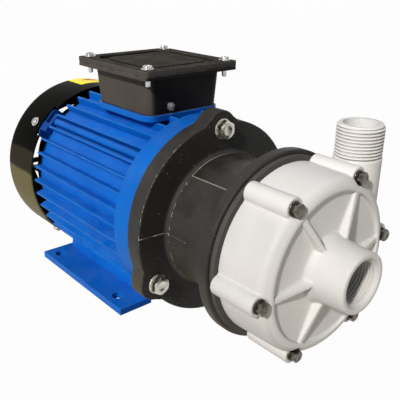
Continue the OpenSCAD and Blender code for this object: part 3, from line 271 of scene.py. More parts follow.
def merged_copy(node, name):
    """A piece with a CAD node's mesh, its loose triangles joined."""
    weld = 0.002 * MM
    bm = bmesh.new()
    bm.from_mesh(nodes[node].data)
    bmesh.ops.remove_doubles(bm, verts=bm.verts, dist=weld)
    mesh = keep_mesh(bm, name)
    if "custom_normal" in mesh.attributes:
        mesh.attributes.remove(mesh.attributes["custom_normal"])
    mesh.materials.clear()
    smooth_below(mesh, degrees=30)
    return new_piece(name, mesh)


def fit(piece, slot, *stands_for):
    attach(piece, "pump_body")
    if stands_for:
        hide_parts(*stands_for)


def dress(node, name, material, slot):
    """Stands a joined copy with its finish in a CAD node's place."""
    piece = merged_copy(node, name)
    piece.data.materials.append(material)
    fit(piece, slot, node)


blue_paint = make_blue_paint("blue sprayed paint", (0.0022, 0.118, 0.535, 1), (0.0034, 0.150, 0.625, 1))
dress("motor_frame", "motor_frame_casting", blue_paint, "motor_paint")


# Rear end shield: a cast plate with the rear bearing seat, whose four ears stand out at the fan end.
# It is sprayed together with the frame and held by screws into the frame's bars; its paint is a darker blue,
# as painted shade.
shaded_paint = make_blue_paint("painted shade blue paint", (0.0012, 0.040, 0.25, 1), (0.0018, 0.055, 0.31, 1))
dress("rear_end_shield", "rear_end_shield_casting", shaded_paint, "motor_paint")


# Fan cover: pressed steel sheet with a rounded rear edge and round air slots, stoved black.
# It slips over the lugs of the end shield; its side carries bands that paint a reflection of the ground,
# olive and then paler tan lower down, with a few dust specks.
def make_cover_paint():
    black = (0.0022, 0.0022, 0.0018, 1)
    faded_black = (0.0040, 0.0038, 0.0032, 1)
    brown_reflection = (0.030, 0.026, 0.018, 1)
    olive_reflection = (0.158, 0.140, 0.070, 1)
    tan_reflection = (0.35, 0.32, 0.20, 1)
    dust_speck = (0.3, 0.28, 0.24, 1)
    material, tree, shader, skin = new_skin("stoved black paint", grain=420.0, tone=18.0)
    specks_and_brown_band = place_group(tree, dust_and_light_masks, Speck_Scale=220.0, Speck_Share=0.10, Film_Scale=7.0,
                             Splash_Top=114.5 * MM, Splash_Foot=111.5 * MM)
    olive_reflection_band = place_group(tree, dust_and_light_masks, Film_Scale=6.0, Splash_Top=95 * MM, Splash_Foot=91 * MM)
    tan_reflection_band = place_group(tree, dust_and_light_masks, Film_Scale=12.0, Splash_Top=88 * MM, Splash_Foot=15 * MM)
    colour = blend_colours(tree, skin["Tone"], black, faded_black)
    # Painted reflection of a brown ground: bands by height, a brown haze, then olive, then tan lower down.
    colour = blend_colours(tree, specks_and_brown_band["Painted Band"], colour, brown_reflection)
    colour = blend_colours(tree, olive_reflection_band["Painted Band"], colour, olive_reflection)
    colour = lay_over(tree, colour, tan_reflection_band["Painted Band"], 0.9, tan_reflection)
    colour = lay_over(tree, colour, specks_and_brown_band["Specks"], 0.4, dust_speck)
    finish_skin(tree, shader, colour, specks_and_brown_band["Painted Band"], (0.30, 0.46), skin["Grain"], 0.02 * MM)
    shader["Specular IOR Level"].default_value = 0.006
    return material


dress("fan_cover", "fan_cover_pressing", make_cover_paint(), "cover_paint")


# Fan cover screws: four zinc plated steel screws with a domed head, a cross recess and a flat washer.
# They go through the side of the fan cover into the lugs of the rear end shield.
def make_bright_metal(name, dark, light, roughness, stain=0.25):
    brown_stain = (0.20, 0.13, 0.06, 1)
    material, tree, shader, skin = new_skin(name, grain=1600.0, tone=260.0)
    edge = place_group(tree, rubbed_and_lit_edge, Radius=0.25 * MM, Breakup_Scale=400.0)
    colour = blend_colours(tree, skin["Tone"], dark, light)
    colour = lay_over(tree, colour, ramp(tree, skin["Grain"], 0.52, 0.72), stain, brown_stain)
    # Edges lightened: partly rubbed metal, partly a painted highlight.
    colour = lay_over(tree, colour, edge["Edge"], 0.8, light)
    finish_skin(tree, shader, colour, skin["Tone"], roughness, skin["Grain"], 0.03 * MM, edge["Normal"])
    shader["Metallic"].default_value = 1.0
    return material


def polar(radius, angle, height):
    return radius * math.cos(angle), radius * math.sin(angle), height


def join_rings(bm, rings, closed=False):
    """Joins rings of points by walls; one point is a pole, and closed joins the last ring to the first."""
    pairs = list(zip(rings, rings[1:]))
    if closed:
        pairs.append((rings[-1], rings[0]))
    for low, high in pairs:
        for k in range(max(len(low), len(high))):
            wall = [row[i % len(row)] for row, i in ((low, k), (low, k + 1), (high, k + 1), (high, k))]
            bm.faces.new(dict.fromkeys(wall))


def lathe(bm, profile, steps, closed=False):
    """Turns (radius, height) points about Z; a radius of 0 is a pole, a closed profile is a ring."""
    rings = []
    for radius, height in profile:
        turns = [2 * math.pi * k / steps for k in range(steps if radius > 0 else 1)]
        rings.append([bm.verts.new(polar(radius, a, height)) for a in turns])
    join_rings(bm, rings, closed)


def mesh_of(bm, name, smooth=40):
    bmesh.ops.recalc_face_normals(bm, faces=bm.faces)
    mesh = keep_mesh(bm, name)
    smooth_below(mesh, smooth)
    return mesh


def flat_washer(bm, height, thickness, radius, hole):
    edge = 0.25 * thickness
    top = height + thickness
    lathe(bm, [(hole, height + edge), (hole + edge, height), (radius - edge, height), (radius, height + edge),
               (radius, top - edge), (radius - edge, top), (hole + edge, top), (hole, top - edge)],
          steps=32, closed=True)


def pan_head(bm, height, thickness, radius):
    """A domed head with a cross recess sunk into its top."""
    rim = 0.45 * thickness
    arm = 0.17 * radius
    reach = 0.62 * radius
    depth = 0.55 * thickness
    dome_steps = 10
    bends = [0.5 * math.pi * k / dome_steps for k in range(1, dome_steps)]
    dome = [(radius * math.cos(a), height + rim + (thickness - rim) * math.sin(a)) for a in bends]
    side = [(0.0, height), (radius, height), (radius, height + rim)]
    lathe(bm, side + dome + [(0.0, height + thickness)], steps=48)
    for vert in bm.verts:
        x, y = abs(vert.co.x), abs(vert.co.y)
        if vert.co.z > height + 0.5 * thickness and min(x, y) < arm and max(x, y) < reach:
            vert.co.z -= depth


def pan_screw(name, washer_t, washer_r, head_t, head_r, shank_r, shank_len):
    tip = 0.6 * MM
    shank_top = 0.5 * washer_t
    bm = bmesh.new()
    pan_head(bm, washer_t, head_t, head_r)
    flat_washer(bm, 0.0, washer_t, washer_r, shank_r)
    lathe(bm, [(0.0, -shank_len), (shank_r - tip, -shank_len), (shank_r, tip - shank_len),
               (shank_r, shank_top), (0.0, shank_top)], steps=16)
    return new_piece(name, mesh_of(bm, name))


def new_tree(name, inputs):
    """A tree of geometry nodes with named inputs, and the sockets that they come in by."""
    tree = bpy.data.node_groups.new(name, "GeometryNodeTree")
    for label, kind in inputs.items():
        tree.interface.new_socket(label, in_out="INPUT", socket_type="NodeSocket" + kind)
    tree.interface.new_socket("Geometry", in_out="OUTPUT", socket_type="NodeSocketGeometry")
    return tree, tree.nodes.new("NodeGroupInput").outputs


def vector(tree, parts):
    """A vector from its parts along X, Y and Z, by their places 0, 1 and 2."""
    return put(tree, "ShaderNodeCombineXYZ", parts).outputs[0]


def rotation(tree, angles):
    """A rotation from its angles about X, Y and Z, by their places 0, 1 and 2."""
    return put(tree, "FunctionNodeEulerToRotation", {0: vector(tree, angles)}).outputs[0]


def copies_at(tree, points, part, turned):
    piece = put(tree, "GeometryNodeObjectInfo", {"Object": part}).outputs["Geometry"]
    return put(tree, "GeometryNodeInstanceOnPoints",
               {"Points": points, "Instance": piece, "Rotation": turned}).outputs[0]


def finish_tree(tree, geometry, material):
    real = put(tree, "GeometryNodeRealizeInstances", {"Geometry": geometry})
    coated = put(tree, "GeometryNodeSetMaterial", {"Geometry": real.outputs[0], "Material": material})
    tree.links.new(coated.outputs[0], tree.nodes.new("NodeGroupOutput").inputs[0])


def make_ring_tree():
    """Copies of a piece on a circle about the shaft, each with its Z along the shaft or leaning out."""
    quarter_turn = 0.5 * math.pi
    tree, given = new_tree("copies on a circle", {
        "Geometry": "Geometry", "Piece": "Object", "Count": "Int", "Radius": "Float", "First Angle": "Float",
        "Station": "Float", "Shaft Height": "Float", "Lean": "Float", "Finish": "Material"})
    step = maths(tree, "DIVIDE", 2 * math.pi, given["Count"], clamp=False)
    turn = maths(tree, "MULTIPLY", put(tree, "GeometryNodeInputIndex").outputs[0], step, clamp=False)
    spot = {axis: maths(tree, "MULTIPLY", given["Radius"], maths(tree, way, turn, clamp=False), clamp=False)
            for axis, way in enumerate(("COSINE", "SINE"))}
    ring = put(tree, "GeometryNodePoints", {"Count": given["Count"], "Position": vector(tree, spot)})
    copies = copies_at(tree, ring.outputs[0], given["Piece"], rotation(tree, {1: given["Lean"], 2: turn}))
    first = maths(tree, "ADD", given["First Angle"], quarter_turn, clamp=False)
    spun = put(tree, "GeometryNodeTransform", {"Geometry": copies, "Rotation": rotation(tree, {2: first})})
    place = vector(tree, {0: given["Station"], 2: given["Shaft Height"]})
    laid = put(tree, "GeometryNodeTransform",
               {"Geometry": spun.outputs[0], "Rotation": rotation(tree, {1: quarter_turn}),
                "Translation": place})
    finish_tree(tree, laid.outputs[0], given["Finish"])
    return tree


def plain_mesh(piece):
    """Turns a piece with modifiers into a plain mesh."""
    shown = piece.evaluated_get(bpy.context.evaluated_depsgraph_get())
    mesh = bpy.data.meshes.new_from_object(shown)
    piece.modifiers.clear()
    piece.data = mesh
    return piece


def grow(name, tree, values):
    """A piece that a tree of nodes makes from its named inputs."""
    piece = new_piece(name, bpy.data.meshes.new(name))
    nodes_modifier = piece.modifiers.new(name, "NODES")
    nodes_modifier.node_group = tree
    for item in tree.interface.items_tree:
        if item.in_out == "INPUT" and item.name in values:
            nodes_modifier[item.identifier] = values[item.name]
    return plain_mesh(piece)


ring_tree = make_ring_tree()
shaft_height = frame["joints"][0]["pos_m"][2]


def ring_of(name, part, count, radius, first_angle, station, finish, lean=0.0):
    """Copies of a part on a circle about the shaft, the first at an angle in degrees."""
    return grow(name, ring_tree, {
        "Piece": part, "Count": count, "Radius": radius, "First Angle": math.radians(first_angle),
        "Station": station, "Shaft Height": shaft_height, "Lean": lean, "Finish": finish})


def join_pieces(name, *pieces):
    bm = bmesh.new()
    for piece in pieces:
        bm.from_mesh(piece.data)
    mesh = keep_mesh(bm, name)
    for material in pieces[0].data.materials:
        mesh.materials.append(material)
    for piece in pieces:
        bpy.data.objects.remove(piece)
    return new_piece(name, mesh)


zinc = make_bright_metal("zinc plate", (0.26, 0.255, 0.25, 1), (0.72, 0.71, 0.69, 1), roughness=(0.16, 0.36))
cover_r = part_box("fan_cover")[1].y
cover_screw_x = sum(corner.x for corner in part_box("fan_cover_screws")) / 2
cover_screw_angles = (52.1, 140.9)
cover_screw = pan_screw("cover_screw", washer_t=0.8 * MM, washer_r=4.4 * MM, head_t=2.2 * MM, head_r=3.4 * MM,
                        shank_r=1.95 * MM, shank_len=7 * MM)
cover_screw_pairs = [ring_of("cover_screw_pair", cover_screw, 2, cover_r, angle, cover_screw_x, zinc,
                             lean=0.5 * math.pi) for angle in cover_screw_angles]
cover_screws = join_pieces("cover_screw_set", *cover_screw_pairs)
bpy.data.objects.remove(cover_screw)
fit(cover_screws, "steel", "fan_cover_screws")


# Rotation sticker: yellow film on top of the fan cover with a plain red arrow, its yellow with a faint
# painted glow.
# It is pressed onto the curve of the cover, so it lies on the paint with a thin edge.
def curved_point(radius, angle, x):
    return Vector((x, radius * math.cos(angle), shaft_height + radius * math.sin(angle)))


def thicken(piece, thickness):
    """Gives a sheet its thickness, inwards."""
    wall = piece.modifiers.new("film", "SOLIDIFY")
    wall.thickness = thickness
    wall.offset = -1.0
    return plain_mesh(piece)


def curved_patch(name, radius, angles, stations, thickness, border=False):
    """A patch on a cylinder round the shaft; with a border, the cells along its edges take slot 1."""
    bm = bmesh.new()
    grid = [[bm.verts.new(curved_point(radius, a, x)) for x in stations] for a in angles]
    for i in range(len(angles) - 1):
        for j in range(len(stations) - 1):
            face = bm.faces.new((grid[i][j], grid[i][j + 1], grid[i + 1][j + 1], grid[i + 1][j]))
            outer = i in (0, len(angles) - 2) or j in (0, len(stations) - 2)
            face.material_index = 1 if border and outer else 0
    mesh = keep_mesh(bm, name)
    middle = mesh.polygons[len(mesh.polygons) // 2]
    outward = middle.center - Vector((middle.center.x, 0, shaft_height))
    if middle.normal.dot(outward) < 0:
        mesh.flip_normals()
    return thicken(new_piece(name, mesh), thickness)


def spread(start, end, steps):
    return [start + (end - start) * k / steps for k in range(steps + 1)]


def arc(start, end, steps):
    """Angles in radians along an arc that is given in degrees."""
    return [math.radians(a) for a in spread(start, end, steps)]


def make_film(name, dark, light, roughness, painted_glow=0.0):
    dust_speck = (0.5, 0.48, 0.44, 1)
    material, tree, shader, skin = new_skin(name, grain=500.0, tone=70.0)
    dust_and_light = place_group(tree, dust_and_light_masks, Speck_Scale=300.0, Speck_Share=0.12, Film_Scale=80.0)
    colour = blend_colours(tree, skin["Tone"], dark, light)
    colour = lay_over(tree, colour, dust_and_light["Specks"], 0.5, dust_speck)
    finish_skin(tree, shader, colour, skin["Tone"], (roughness, roughness + 0.12), skin["Grain"], 0.02 * MM)
    # A faint painted glow in the film's own light colour.
    shader["Emission Color"].default_value = light
    shader["Emission Strength"].default_value = painted_glow
    return material


yellow_film = make_film("yellow film", (0.97, 0.70, 0.001, 1), (1.0, 0.77, 0.001, 1), roughness=0.4, painted_glow=0.3)
sticker_r = cover_r + 0.12 * MM
sticker_angles = arc(97.5, 60.0, 24)
sticker_stations = spread(-108 * MM, -82 * MM, 6)
sticker = curved_patch("rotation_sticker", sticker_r, sticker_angles, sticker_stations, thickness=0.14 * MM)
sticker.data.materials.append(yellow_film)
fit(sticker, "cover_paint")


def arrow_on_cylinder(name, radius, head_angle, tail_angle, middle_x, shaft_half, head_half, thickness):
    """A flat arrow that points along the turn of the cover."""
    head_share = 0.4
    tip_half = 0.02 * MM
    bm = bmesh.new()
    neck_angle = head_angle + head_share * (tail_angle - head_angle)
    rows = [(a, head_half * (a - head_angle) / (neck_angle - head_angle))
            for a in spread(head_angle, neck_angle, 8)]
    rows += [(a, shaft_half) for a in spread(neck_angle, tail_angle, 10)]
    pairs = [[bm.verts.new(curved_point(radius, a, middle_x + side * max(half, tip_half)))
              for side in (-1, 1)] for a, half in rows]
    for low, high in zip(pairs, pairs[1:]):
        bm.faces.new((low[0], low[1], high[1], high[0]))
    bmesh.ops.recalc_face_normals(bm, faces=bm.faces)
    mesh = keep_mesh(bm, name)
    if mesh.polygons[0].normal.z < 0:
        mesh.flip_normals()
    return thicken(new_piece(name, mesh), thickness)


red_print = make_film("red print", (0.36, 0.045, 0.003, 1), (0.46, 0.07, 0.004, 1), roughness=0.4)
arrow = arrow_on_cylinder("rotation_arrow", cover_r + 0.2 * MM, math.radians(91), math.radians(68),
                          middle_x=-98 * MM, shaft_half=2.4 * MM, head_half=6.5 * MM, thickness=0.12 * MM)
arrow.data.materials.append(red_print)
fit(arrow, "cover_paint")


# Terminal box: black moulded plastic with a flange for its lid, screwed down on a rubber sheet.
# The plastic is semi matt, with a brown bloom of dust where it faces up, and its front face is near black as
# painted shade.
def make_black_plastic(name, dark, light, shaft_face_shading, dusty, film_share, speck_share, edge_share, shaft_face_shading_end=1.0,
                       corner_shade_reach=4 * MM, corner_shade_share=0.85, gloss=0.12):
    """Dark to light on its sides, a painted shading colour where it faces along the shaft, dusty where it
    faces up.
    """
    brown_low_reflection = (0.10, 0.086, 0.052, 1)
    rubbed_and_lit = (0.22, 0.21, 0.19, 1)
    dust_speck = (0.42, 0.40, 0.37, 1)
    painted_shade = (0.003, 0.003, 0.003, 1)
    material, tree, shader, skin = new_skin(name, grain=1100.0, tone=45.0)
    dust_and_light = place_group(tree, dust_and_light_masks, Speck_Scale=420.0, Speck_Share=speck_share, Film_Scale=70.0,
                       Splash_Top=100 * MM, Splash_Foot=25 * MM, Shelter_Start=0.7, Shelter_Full=1.0,
                       Shelter_End=shaft_face_shading_end)
    edge = place_group(tree, rubbed_and_lit_edge, Radius=0.9 * MM, Breakup_Scale=150.0)
    corner = place_group(tree, corner_shade, Reach=corner_shade_reach)
    colour = blend_colours(tree, skin["Tone"], dark, light)
    # Brown low down: partly splashed dust, partly a painted reflection of the ground.
    colour = lay_over(tree, colour, dust_and_light["Painted Band"], 0.6, brown_low_reflection)
    # Faces along the shaft take a painted shading colour: near black on the terminal box as painted shade,
    # near the side colour elsewhere.
    colour = blend_colours(tree, dust_and_light["Painted Face Shading"], colour, shaft_face_shading)
    # Rubbed edges: partly worn plastic, partly a painted highlight.
    colour = lay_over(tree, colour, edge["Edge"], edge_share, rubbed_and_lit)
    colour = lay_over(tree, colour, dust_and_light["Film"], film_share, dusty)
    colour = lay_over(tree, colour, dust_and_light["Specks"], 0.45, dust_speck)
    # Painted shade in inner corners and recesses.
    colour = lay_over(tree, colour, corner["Corner Shade"], corner_shade_share, painted_shade)
    finish_skin(tree, shader, colour, skin["Tone"], (0.44, 0.56), skin["Grain"], 0.05 * MM, edge["Normal"])
    shader["Specular IOR Level"].default_value = gloss
    return material


box_plastic = make_black_plastic(
    "black moulded plastic", dark=(0.066, 0.057, 0.049, 1), light=(0.084, 0.073, 0.063, 1),
    shaft_face_shading=(0.006, 0.006, 0.007, 1), dusty=(0.085, 0.078, 0.076, 1),
    film_share=0.5, speck_share=0.10, edge_share=0.4, gloss=0.07)
dress("terminal_box", "terminal_box_moulding", box_plastic, "black_plastic")


# Terminal box lid: a black moulded plate with a stepped, round cornered recess, on a rubber frame.
# Its corners are screwed to the flange of the box, its rubbed edges are paler than its panel, partly as a
# painted highlight, and its recess is darkened as painted shade.
def paint(material, *names):
    """Gives CAD nodes that keep their shape their finish."""
    for name in names:
        nodes[name].data.materials.clear()
        nodes[name].data.materials.append(material)


lid_plastic = make_black_plastic(
    "black lid plastic", dark=(0.077, 0.068, 0.061, 1), light=(0.100, 0.088, 0.080, 1),
    shaft_face_shading=(0.074, 0.069, 0.067, 1), dusty=(0.039, 0.038, 0.038, 1),
    film_share=0.7, speck_share=0.20, edge_share=0.9, corner_shade_reach=9 * MM, corner_shade_share=1.0, gloss=0.0)
dress("terminal_box_lid", "terminal_box_lid_moulding", lid_plastic, "black_plastic")
paint(lid_plastic, "lid_gasket")


# Lid screws: four zinc plated screws like those of the fan cover, a size larger.
# They go through the corners of the lid, and their ends show under the flange of the box.
def make_corner_tree():
    """Copies of a piece on the corners of a level rectangle, each turned by chance."""
    most_turn = 1.5
    tree, given = new_tree("copies on corners", {
        "Geometry": "Geometry", "Piece": "Object", "Length": "Float", "Width": "Float",
        "Place": "Vector", "Finish": "Material"})
    grid = put(tree, "GeometryNodeMeshGrid", {"Size X": given["Length"], "Size Y": given["Width"],
                                              "Vertices X": 2, "Vertices Y": 2})
    turn = put(tree, "FunctionNodeRandomValue", {2: 0.0, 3: most_turn, "Seed": 4}).outputs[1]
    copies = copies_at(tree, grid.outputs["Mesh"], given["Piece"], rotation(tree, {2: turn}))
    moved = put(tree, "GeometryNodeTransform", {"Geometry": copies, "Translation": given["Place"]})
    finish_tree(tree, moved.outputs[0], given["Finish"])
    return tree


corner_tree = make_corner_tree()
lid_low, lid_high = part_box("terminal_box_lid")
lid_middle = (lid_low + lid_high) / 2
lid_screw_inset = 7.5 * MM
lid_screw = pan_screw("lid_screw", washer_t=0.9 * MM, washer_r=4.8 * MM, head_t=2.6 * MM, head_r=3.6 * MM,
                      shank_r=1.95 * MM, shank_len=lid_high.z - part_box("lid_screws")[0].z)
lid_screws = grow("lid_screw_set", corner_tree,
                  {"Piece": lid_screw, "Length": lid_high.x - lid_low.x - 2 * lid_screw_inset,
                   "Width": lid_high.y - lid_low.y - 2 * lid_screw_inset,
                   "Place": (lid_middle.x, lid_middle.y, lid_high.z), "Finish": zinc})
bpy.data.objects.remove(lid_screw)
fit(lid_screws, "steel", "lid_screws")


# Earth screw: a zinc plated steel screw in the front of the terminal box.
# It stays bare so that it makes contact, and it has gone dull in the open.
worn_zinc = make_bright_metal("worn zinc", (0.10, 0.10, 0.095, 1), (0.50, 0.48, 0.44, 1),
                              roughness=(0.4, 0.6), stain=0.4)
paint(worn_zinc, "earth_screw")


# Pump bracket: one black moulding with a motor flange, a round neck and a front ring.
# The two halves of its mould left a fine ridge along the neck, and handling left scuffs and specks; its
# flange face and inner corners carry painted shade, and thin pale lines on its edges are painted highlights.
def soften(piece, voxel, rounds, kept):
    """Rounds every edge of a piece the way a mould does, then keeps a share of the faces."""
    skin = piece.modifiers.new("skin", "REMESH")
    skin.mode = "VOXEL"
    skin.voxel_size = voxel
    skin.use_smooth_shade = True
    fillets = piece.modifiers.new("fillets", "SMOOTH")
    fillets.factor = 0.5
    fillets.iterations = rounds
    thinned = piece.modifiers.new("thinned", "DECIMATE")
    thinned.ratio = kept
    return plain_mesh(piece)


def make_scuff_and_highlight_line():
    """Pale dashes on the dark moulding: scuffs on the mould ridge, and painted highlights on the edge lines.
    """
    whole = (0.05, 0.048, 0.045, 1)
    pale_dash = (0.40, 0.385, 0.36, 1)
    material, tree, shader, skin = new_skin("scuffs and painted highlights", grain=330.0, tone=150.0)
    dashes = ramp(tree, skin["Grain"], 0.50, 0.60)
    tree.links.new(blend_colours(tree, dashes, whole, pale_dash), shader["Base Color"])
    shader["Roughness"].default_value = 0.6
    return material


bracket_plastic = make_black_plastic(
    "black bracket plastic", dark=(0.030, 0.028, 0.0275, 1), light=(0.046, 0.044, 0.0425, 1),
    shaft_face_shading=(0.0245, 0.0235, 0.0225, 1), dusty=(0.055, 0.049, 0.041, 1),
    film_share=0.35, speck_share=0.20, edge_share=0.9, shaft_face_shading_end=150 * MM, corner_shade_share=0.6)
bracket = soften(merged_copy("pump_bracket", "pump_bracket_moulding"), voxel=0.75 * MM, rounds=2, kept=0.4)
bracket.data.materials.append(bracket_plastic)
fit(bracket, "bracket_black", "pump_bracket")

flange_front = 107 * MM
flange_r = 78 * MM
neck_r = 53.9 * MM
neck_fillet = 3 * MM
neck_foot = flange_front + neck_fillet + 0.4 * MM
ridge_front = 130 * MM
ridge_angles = (177, 357)


def mould_ridge(bm, angle, half_width, height):
    """A fine ridge over the flange face and along the neck, at one angle."""
    profile = ((-1, -1), (-0.5, 0.7), (0, 1), (0.5, 0.7), (1, -1))
    bend = [(neck_r + neck_fillet * (1 - math.sin(t)), flange_front + neck_fillet * (1 - math.cos(t)), t)
            for t in spread(0.0, 0.5 * math.pi, 6)]
    path = [(flange_r, flange_front, 0.0)] + bend + [(neck_r, ridge_front, 0.5 * math.pi)]
    across = Vector((0, -math.sin(angle), math.cos(angle)))
    radial = Vector((0, math.cos(angle), math.sin(angle)))
    rows = []
    for radius, x, tilt in path:
        out = Vector((math.cos(tilt), 0, 0)) + radial * math.sin(tilt)
        foot = curved_point(radius, angle, x)
        rows.append([bm.verts.new(foot + across * u * half_width + out * height * h) for u, h in profile])
    join_rings(bm, rows)
    bm.faces.new(rows[0])
    bm.faces.new(rows[-1][::-1])


def edge_line(radius, x, start, end, half):
    """A pale line along an edge of the moulding, round the shaft from one angle to another in degrees: a
    painted highlight, broken into dashes.
    """
    return curved_patch("edge_line", radius, arc(start, end, 60), [x - half, x, x + half], thickness=0.4 * MM)


ridge_bm = bmesh.new()
for ridge_angle in ridge_angles:
    mould_ridge(ridge_bm, math.radians(ridge_angle), half_width=0.5 * MM, height=0.35 * MM)
ridges = new_piece("bracket_mould_ridge", mesh_of(ridge_bm, "bracket_mould_ridge"))

# Painted highlights: thin pale lines where the neck meets the flange and along the front edge of the flange.
neck_highlight = edge_line(neck_r + 0.12 * MM, neck_foot, start=70, end=250, half=0.22 * MM)
flange_highlight_r = flange_r + 0.5 * MM
flange_highlight_x = flange_front - 0.5 * MM
flange_highlight_starts = (118, 238, 358)
flange_highlight_sweep = 64
flange_highlights = [edge_line(flange_highlight_r, flange_highlight_x, start, start + flange_highlight_sweep, half=0.2 * MM)
                for start in flange_highlight_starts]
mould_ridge_and_highlights = join_pieces("bracket_mould_lines", ridges, neck_highlight, *flange_highlights)
mould_ridge_and_highlights.data.materials.append(make_scuff_and_highlight_line())
fit(mould_ridge_and_highlights, "bracket_black")


# Neck label: a dark film with a fine pale border, pressed onto the top of the neck.
# Its front end lies in the shade of the ring.
label_r = neck_r + 0.15 * MM
label_front = 153 * MM
label_border = 0.5 * MM
label_start = math.pi / 2 + math.radians(36.5)
label_end = math.pi / 2 - math.radians(36.5)
border_angle = label_border / neck_r
label_rows = [label_start] + spread(label_start - border_angle, label_end + border_angle, 36) + [label_end]
label_columns = [neck_foot] + spread(neck_foot + label_border, label_front - label_border, 4) + [label_front]
label = curved_patch("neck_label", label_r, label_rows, label_columns, thickness=0.3 * MM, border=True)
label_film = make_film("dark label film", (0.016, 0.014, 0.012, 1), (0.026, 0.023, 0.02, 1), roughness=0.3)
label_edge = make_film("pale label border", (0.30, 0.28, 0.25, 1), (0.42, 0.40, 0.36, 1), roughness=0.4)
label.data.materials.append(label_film)
label.data.materials.append(label_edge)
fit(label, "bracket_black")


# Bracket bolts: three stainless hexagon bolts with flat washers that hold the bracket to the motor.
# Their heads are forged with a chamfered top and turn brown in the open.
def hex_head(bm, height, thickness, corner_r):
    """A forged hexagon head with a turned chamfer and a shallow dish on its top."""
    flat_r = corner_r * math.cos(math.pi / 6)
    crown_r = 0.94 * flat_r
    dish_r = 0.55 * crown_r
    dish_floor_r = 0.45 * crown_r
    dish_floor = 0.97 * thickness
    chamfer_slope = math.tan(math.radians(30))
    steps = 48
    turns = [2 * math.pi * k / steps for k in range(steps)]
    rim = [flat_r / math.cos((a % (math.pi / 3)) - math.pi / 6) for a in turns]
    chamfer = [thickness - (r - crown_r) * chamfer_slope for r in rim]

    def ring(radii, heights):
        return [bm.verts.new(polar(r, a, height + h)) for a, r, h in zip(turns, radii, heights)]

    rings = [ring(rim, [0.0] * steps), ring(rim, chamfer), ring([crown_r] * steps, [thickness] * steps),
             ring([dish_r] * steps, [thickness] * steps), ring([dish_floor_r] * steps, [dish_floor] * steps)]
    join_rings(bm, rings)
    bm.faces.new(rings[-1])
    bm.faces.new(rings[0][::-1])


def shank(bm, height, length, radius):
    foot = height - length
    tip_r = 0.8 * radius
    tip_len = 0.3 * radius
    lathe(bm, [(0.0, foot), (tip_r, foot), (radius, foot + tip_len), (radius, height), (0.0, height)],
          steps=20)


def template(name, *makers):
    """One piece from the makers of its shapes, each with its sizes."""
    bm = bmesh.new()
    for make, *sizes in makers:
        make(bm, *sizes)
    return new_piece(name, mesh_of(bm, name))


stainless = make_bright_metal("stainless steel", (0.42, 0.40, 0.35, 1), (0.76, 0.73, 0.66, 1),
                              roughness=(0.16, 0.36), stain=0.4)
bracket_bolt_circle = 73 * MM
bracket_head_r = 7.5 * MM
bracket_shank_r = 3.9 * MM
bracket_washer_r = 8 * MM
bracket_washer_hole = 4.3 * MM
shank_overlap = 0.5 * MM
bracket_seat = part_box("bracket_washers")[0].x
bracket_washer_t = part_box("bracket_washers")[1].x - bracket_seat
bracket_head_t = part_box("bracket_bolts")[1].x - bracket_seat - bracket_washer_t
bracket_bolt_len = bracket_seat + bracket_washer_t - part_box("bracket_bolts")[0].x
bracket_bolt = template("bracket_bolt", (hex_head, bracket_washer_t, bracket_head_t, bracket_head_r),
                        (shank, bracket_washer_t + shank_overlap, bracket_bolt_len, bracket_shank_r))
bracket_washer = template("bracket_washer",
                          (flat_washer, 0.0, bracket_washer_t, bracket_washer_r, bracket_washer_hole))
for name, part, node in (("bracket_bolt_set", bracket_bolt, "bracket_bolts"),
                         ("bracket_washer_set", bracket_washer, "bracket_washers")):
    bolts = ring_of(name, part, 3, bracket_bolt_circle, 90, bracket_seat, stainless)
    bpy.data.objects.remove(part)
    fit(bolts, "stainless", node)


# Rear casing: a black moulding whose flange shows as a thin ring between the bracket and the front casing.
# Its can reaches back into the bracket and keeps the liquid away from the drive magnets.
# Its faces along the shaft keep nearly the side colour, raised to make up for their shade, and its inner
# corners carry painted shade.
ring_plastic = make_black_plastic(
    "black casing plastic", dark=(0.078, 0.075, 0.073, 1), light=(0.096, 0.092, 0.090, 1),
    shaft_face_shading=(0.075, 0.072, 0.070, 1), dusty=(0.055, 0.050, 0.042, 1),
    film_share=0.35, speck_share=0.30, edge_share=0.3, corner_shade_share=0.35)
dress("rear_casing", "rear_casing_moulding", ring_plastic, "bracket_black")


# Front casing: a white moulding with bolt bosses, ribs, an inlet nozzle and a tangential outlet spigot.
# All its edges are softly filleted, and both ports have a cast 1 inch pipe thread.
def make_white_plastic():
    dimmer_white = (0.668, 0.656, 0.656, 1)
    plain = (0.722, 0.710, 0.710, 1)
    lit_upper_white = (0.85, 0.836, 0.838, 1)
    lit_front_white = (0.85, 0.835, 0.825, 1)
    corner_shade_brown = (0.30, 0.28, 0.24, 1)
    material, tree, shader, skin = new_skin("white moulded plastic", grain=650.0, tone=35.0)
    dust_and_light = place_group(tree, dust_and_light_masks, Film_Scale=20.0, Splash_Top=152 * MM, Splash_Foot=126 * MM,
                       Shelter_Start=0.75, Shelter_Full=0.98)
    corner = place_group(tree, corner_shade, Reach=2.5 * MM)
    colour = blend_colours(tree, skin["Tone"], dimmer_white, plain)
    # Painted light: above a height the white is brighter.
    colour = blend_colours(tree, dust_and_light["Painted Band"], lit_upper_white, colour)
    # Painted light: faces along the shaft are a brighter white.
    colour = blend_colours(tree, dust_and_light["Painted Face Shading"], colour, lit_front_white)
    # Painted shade: inner corners are darkened brown.
    colour = lay_over(tree, colour, corner["Corner Shade"], 0.6, corner_shade_brown)
    finish_skin(tree, shader, colour, skin["Tone"], (0.42, 0.54), skin["Grain"], 0.05 * MM)
    shader["Specular IOR Level"].default_value = 0.16
    return material


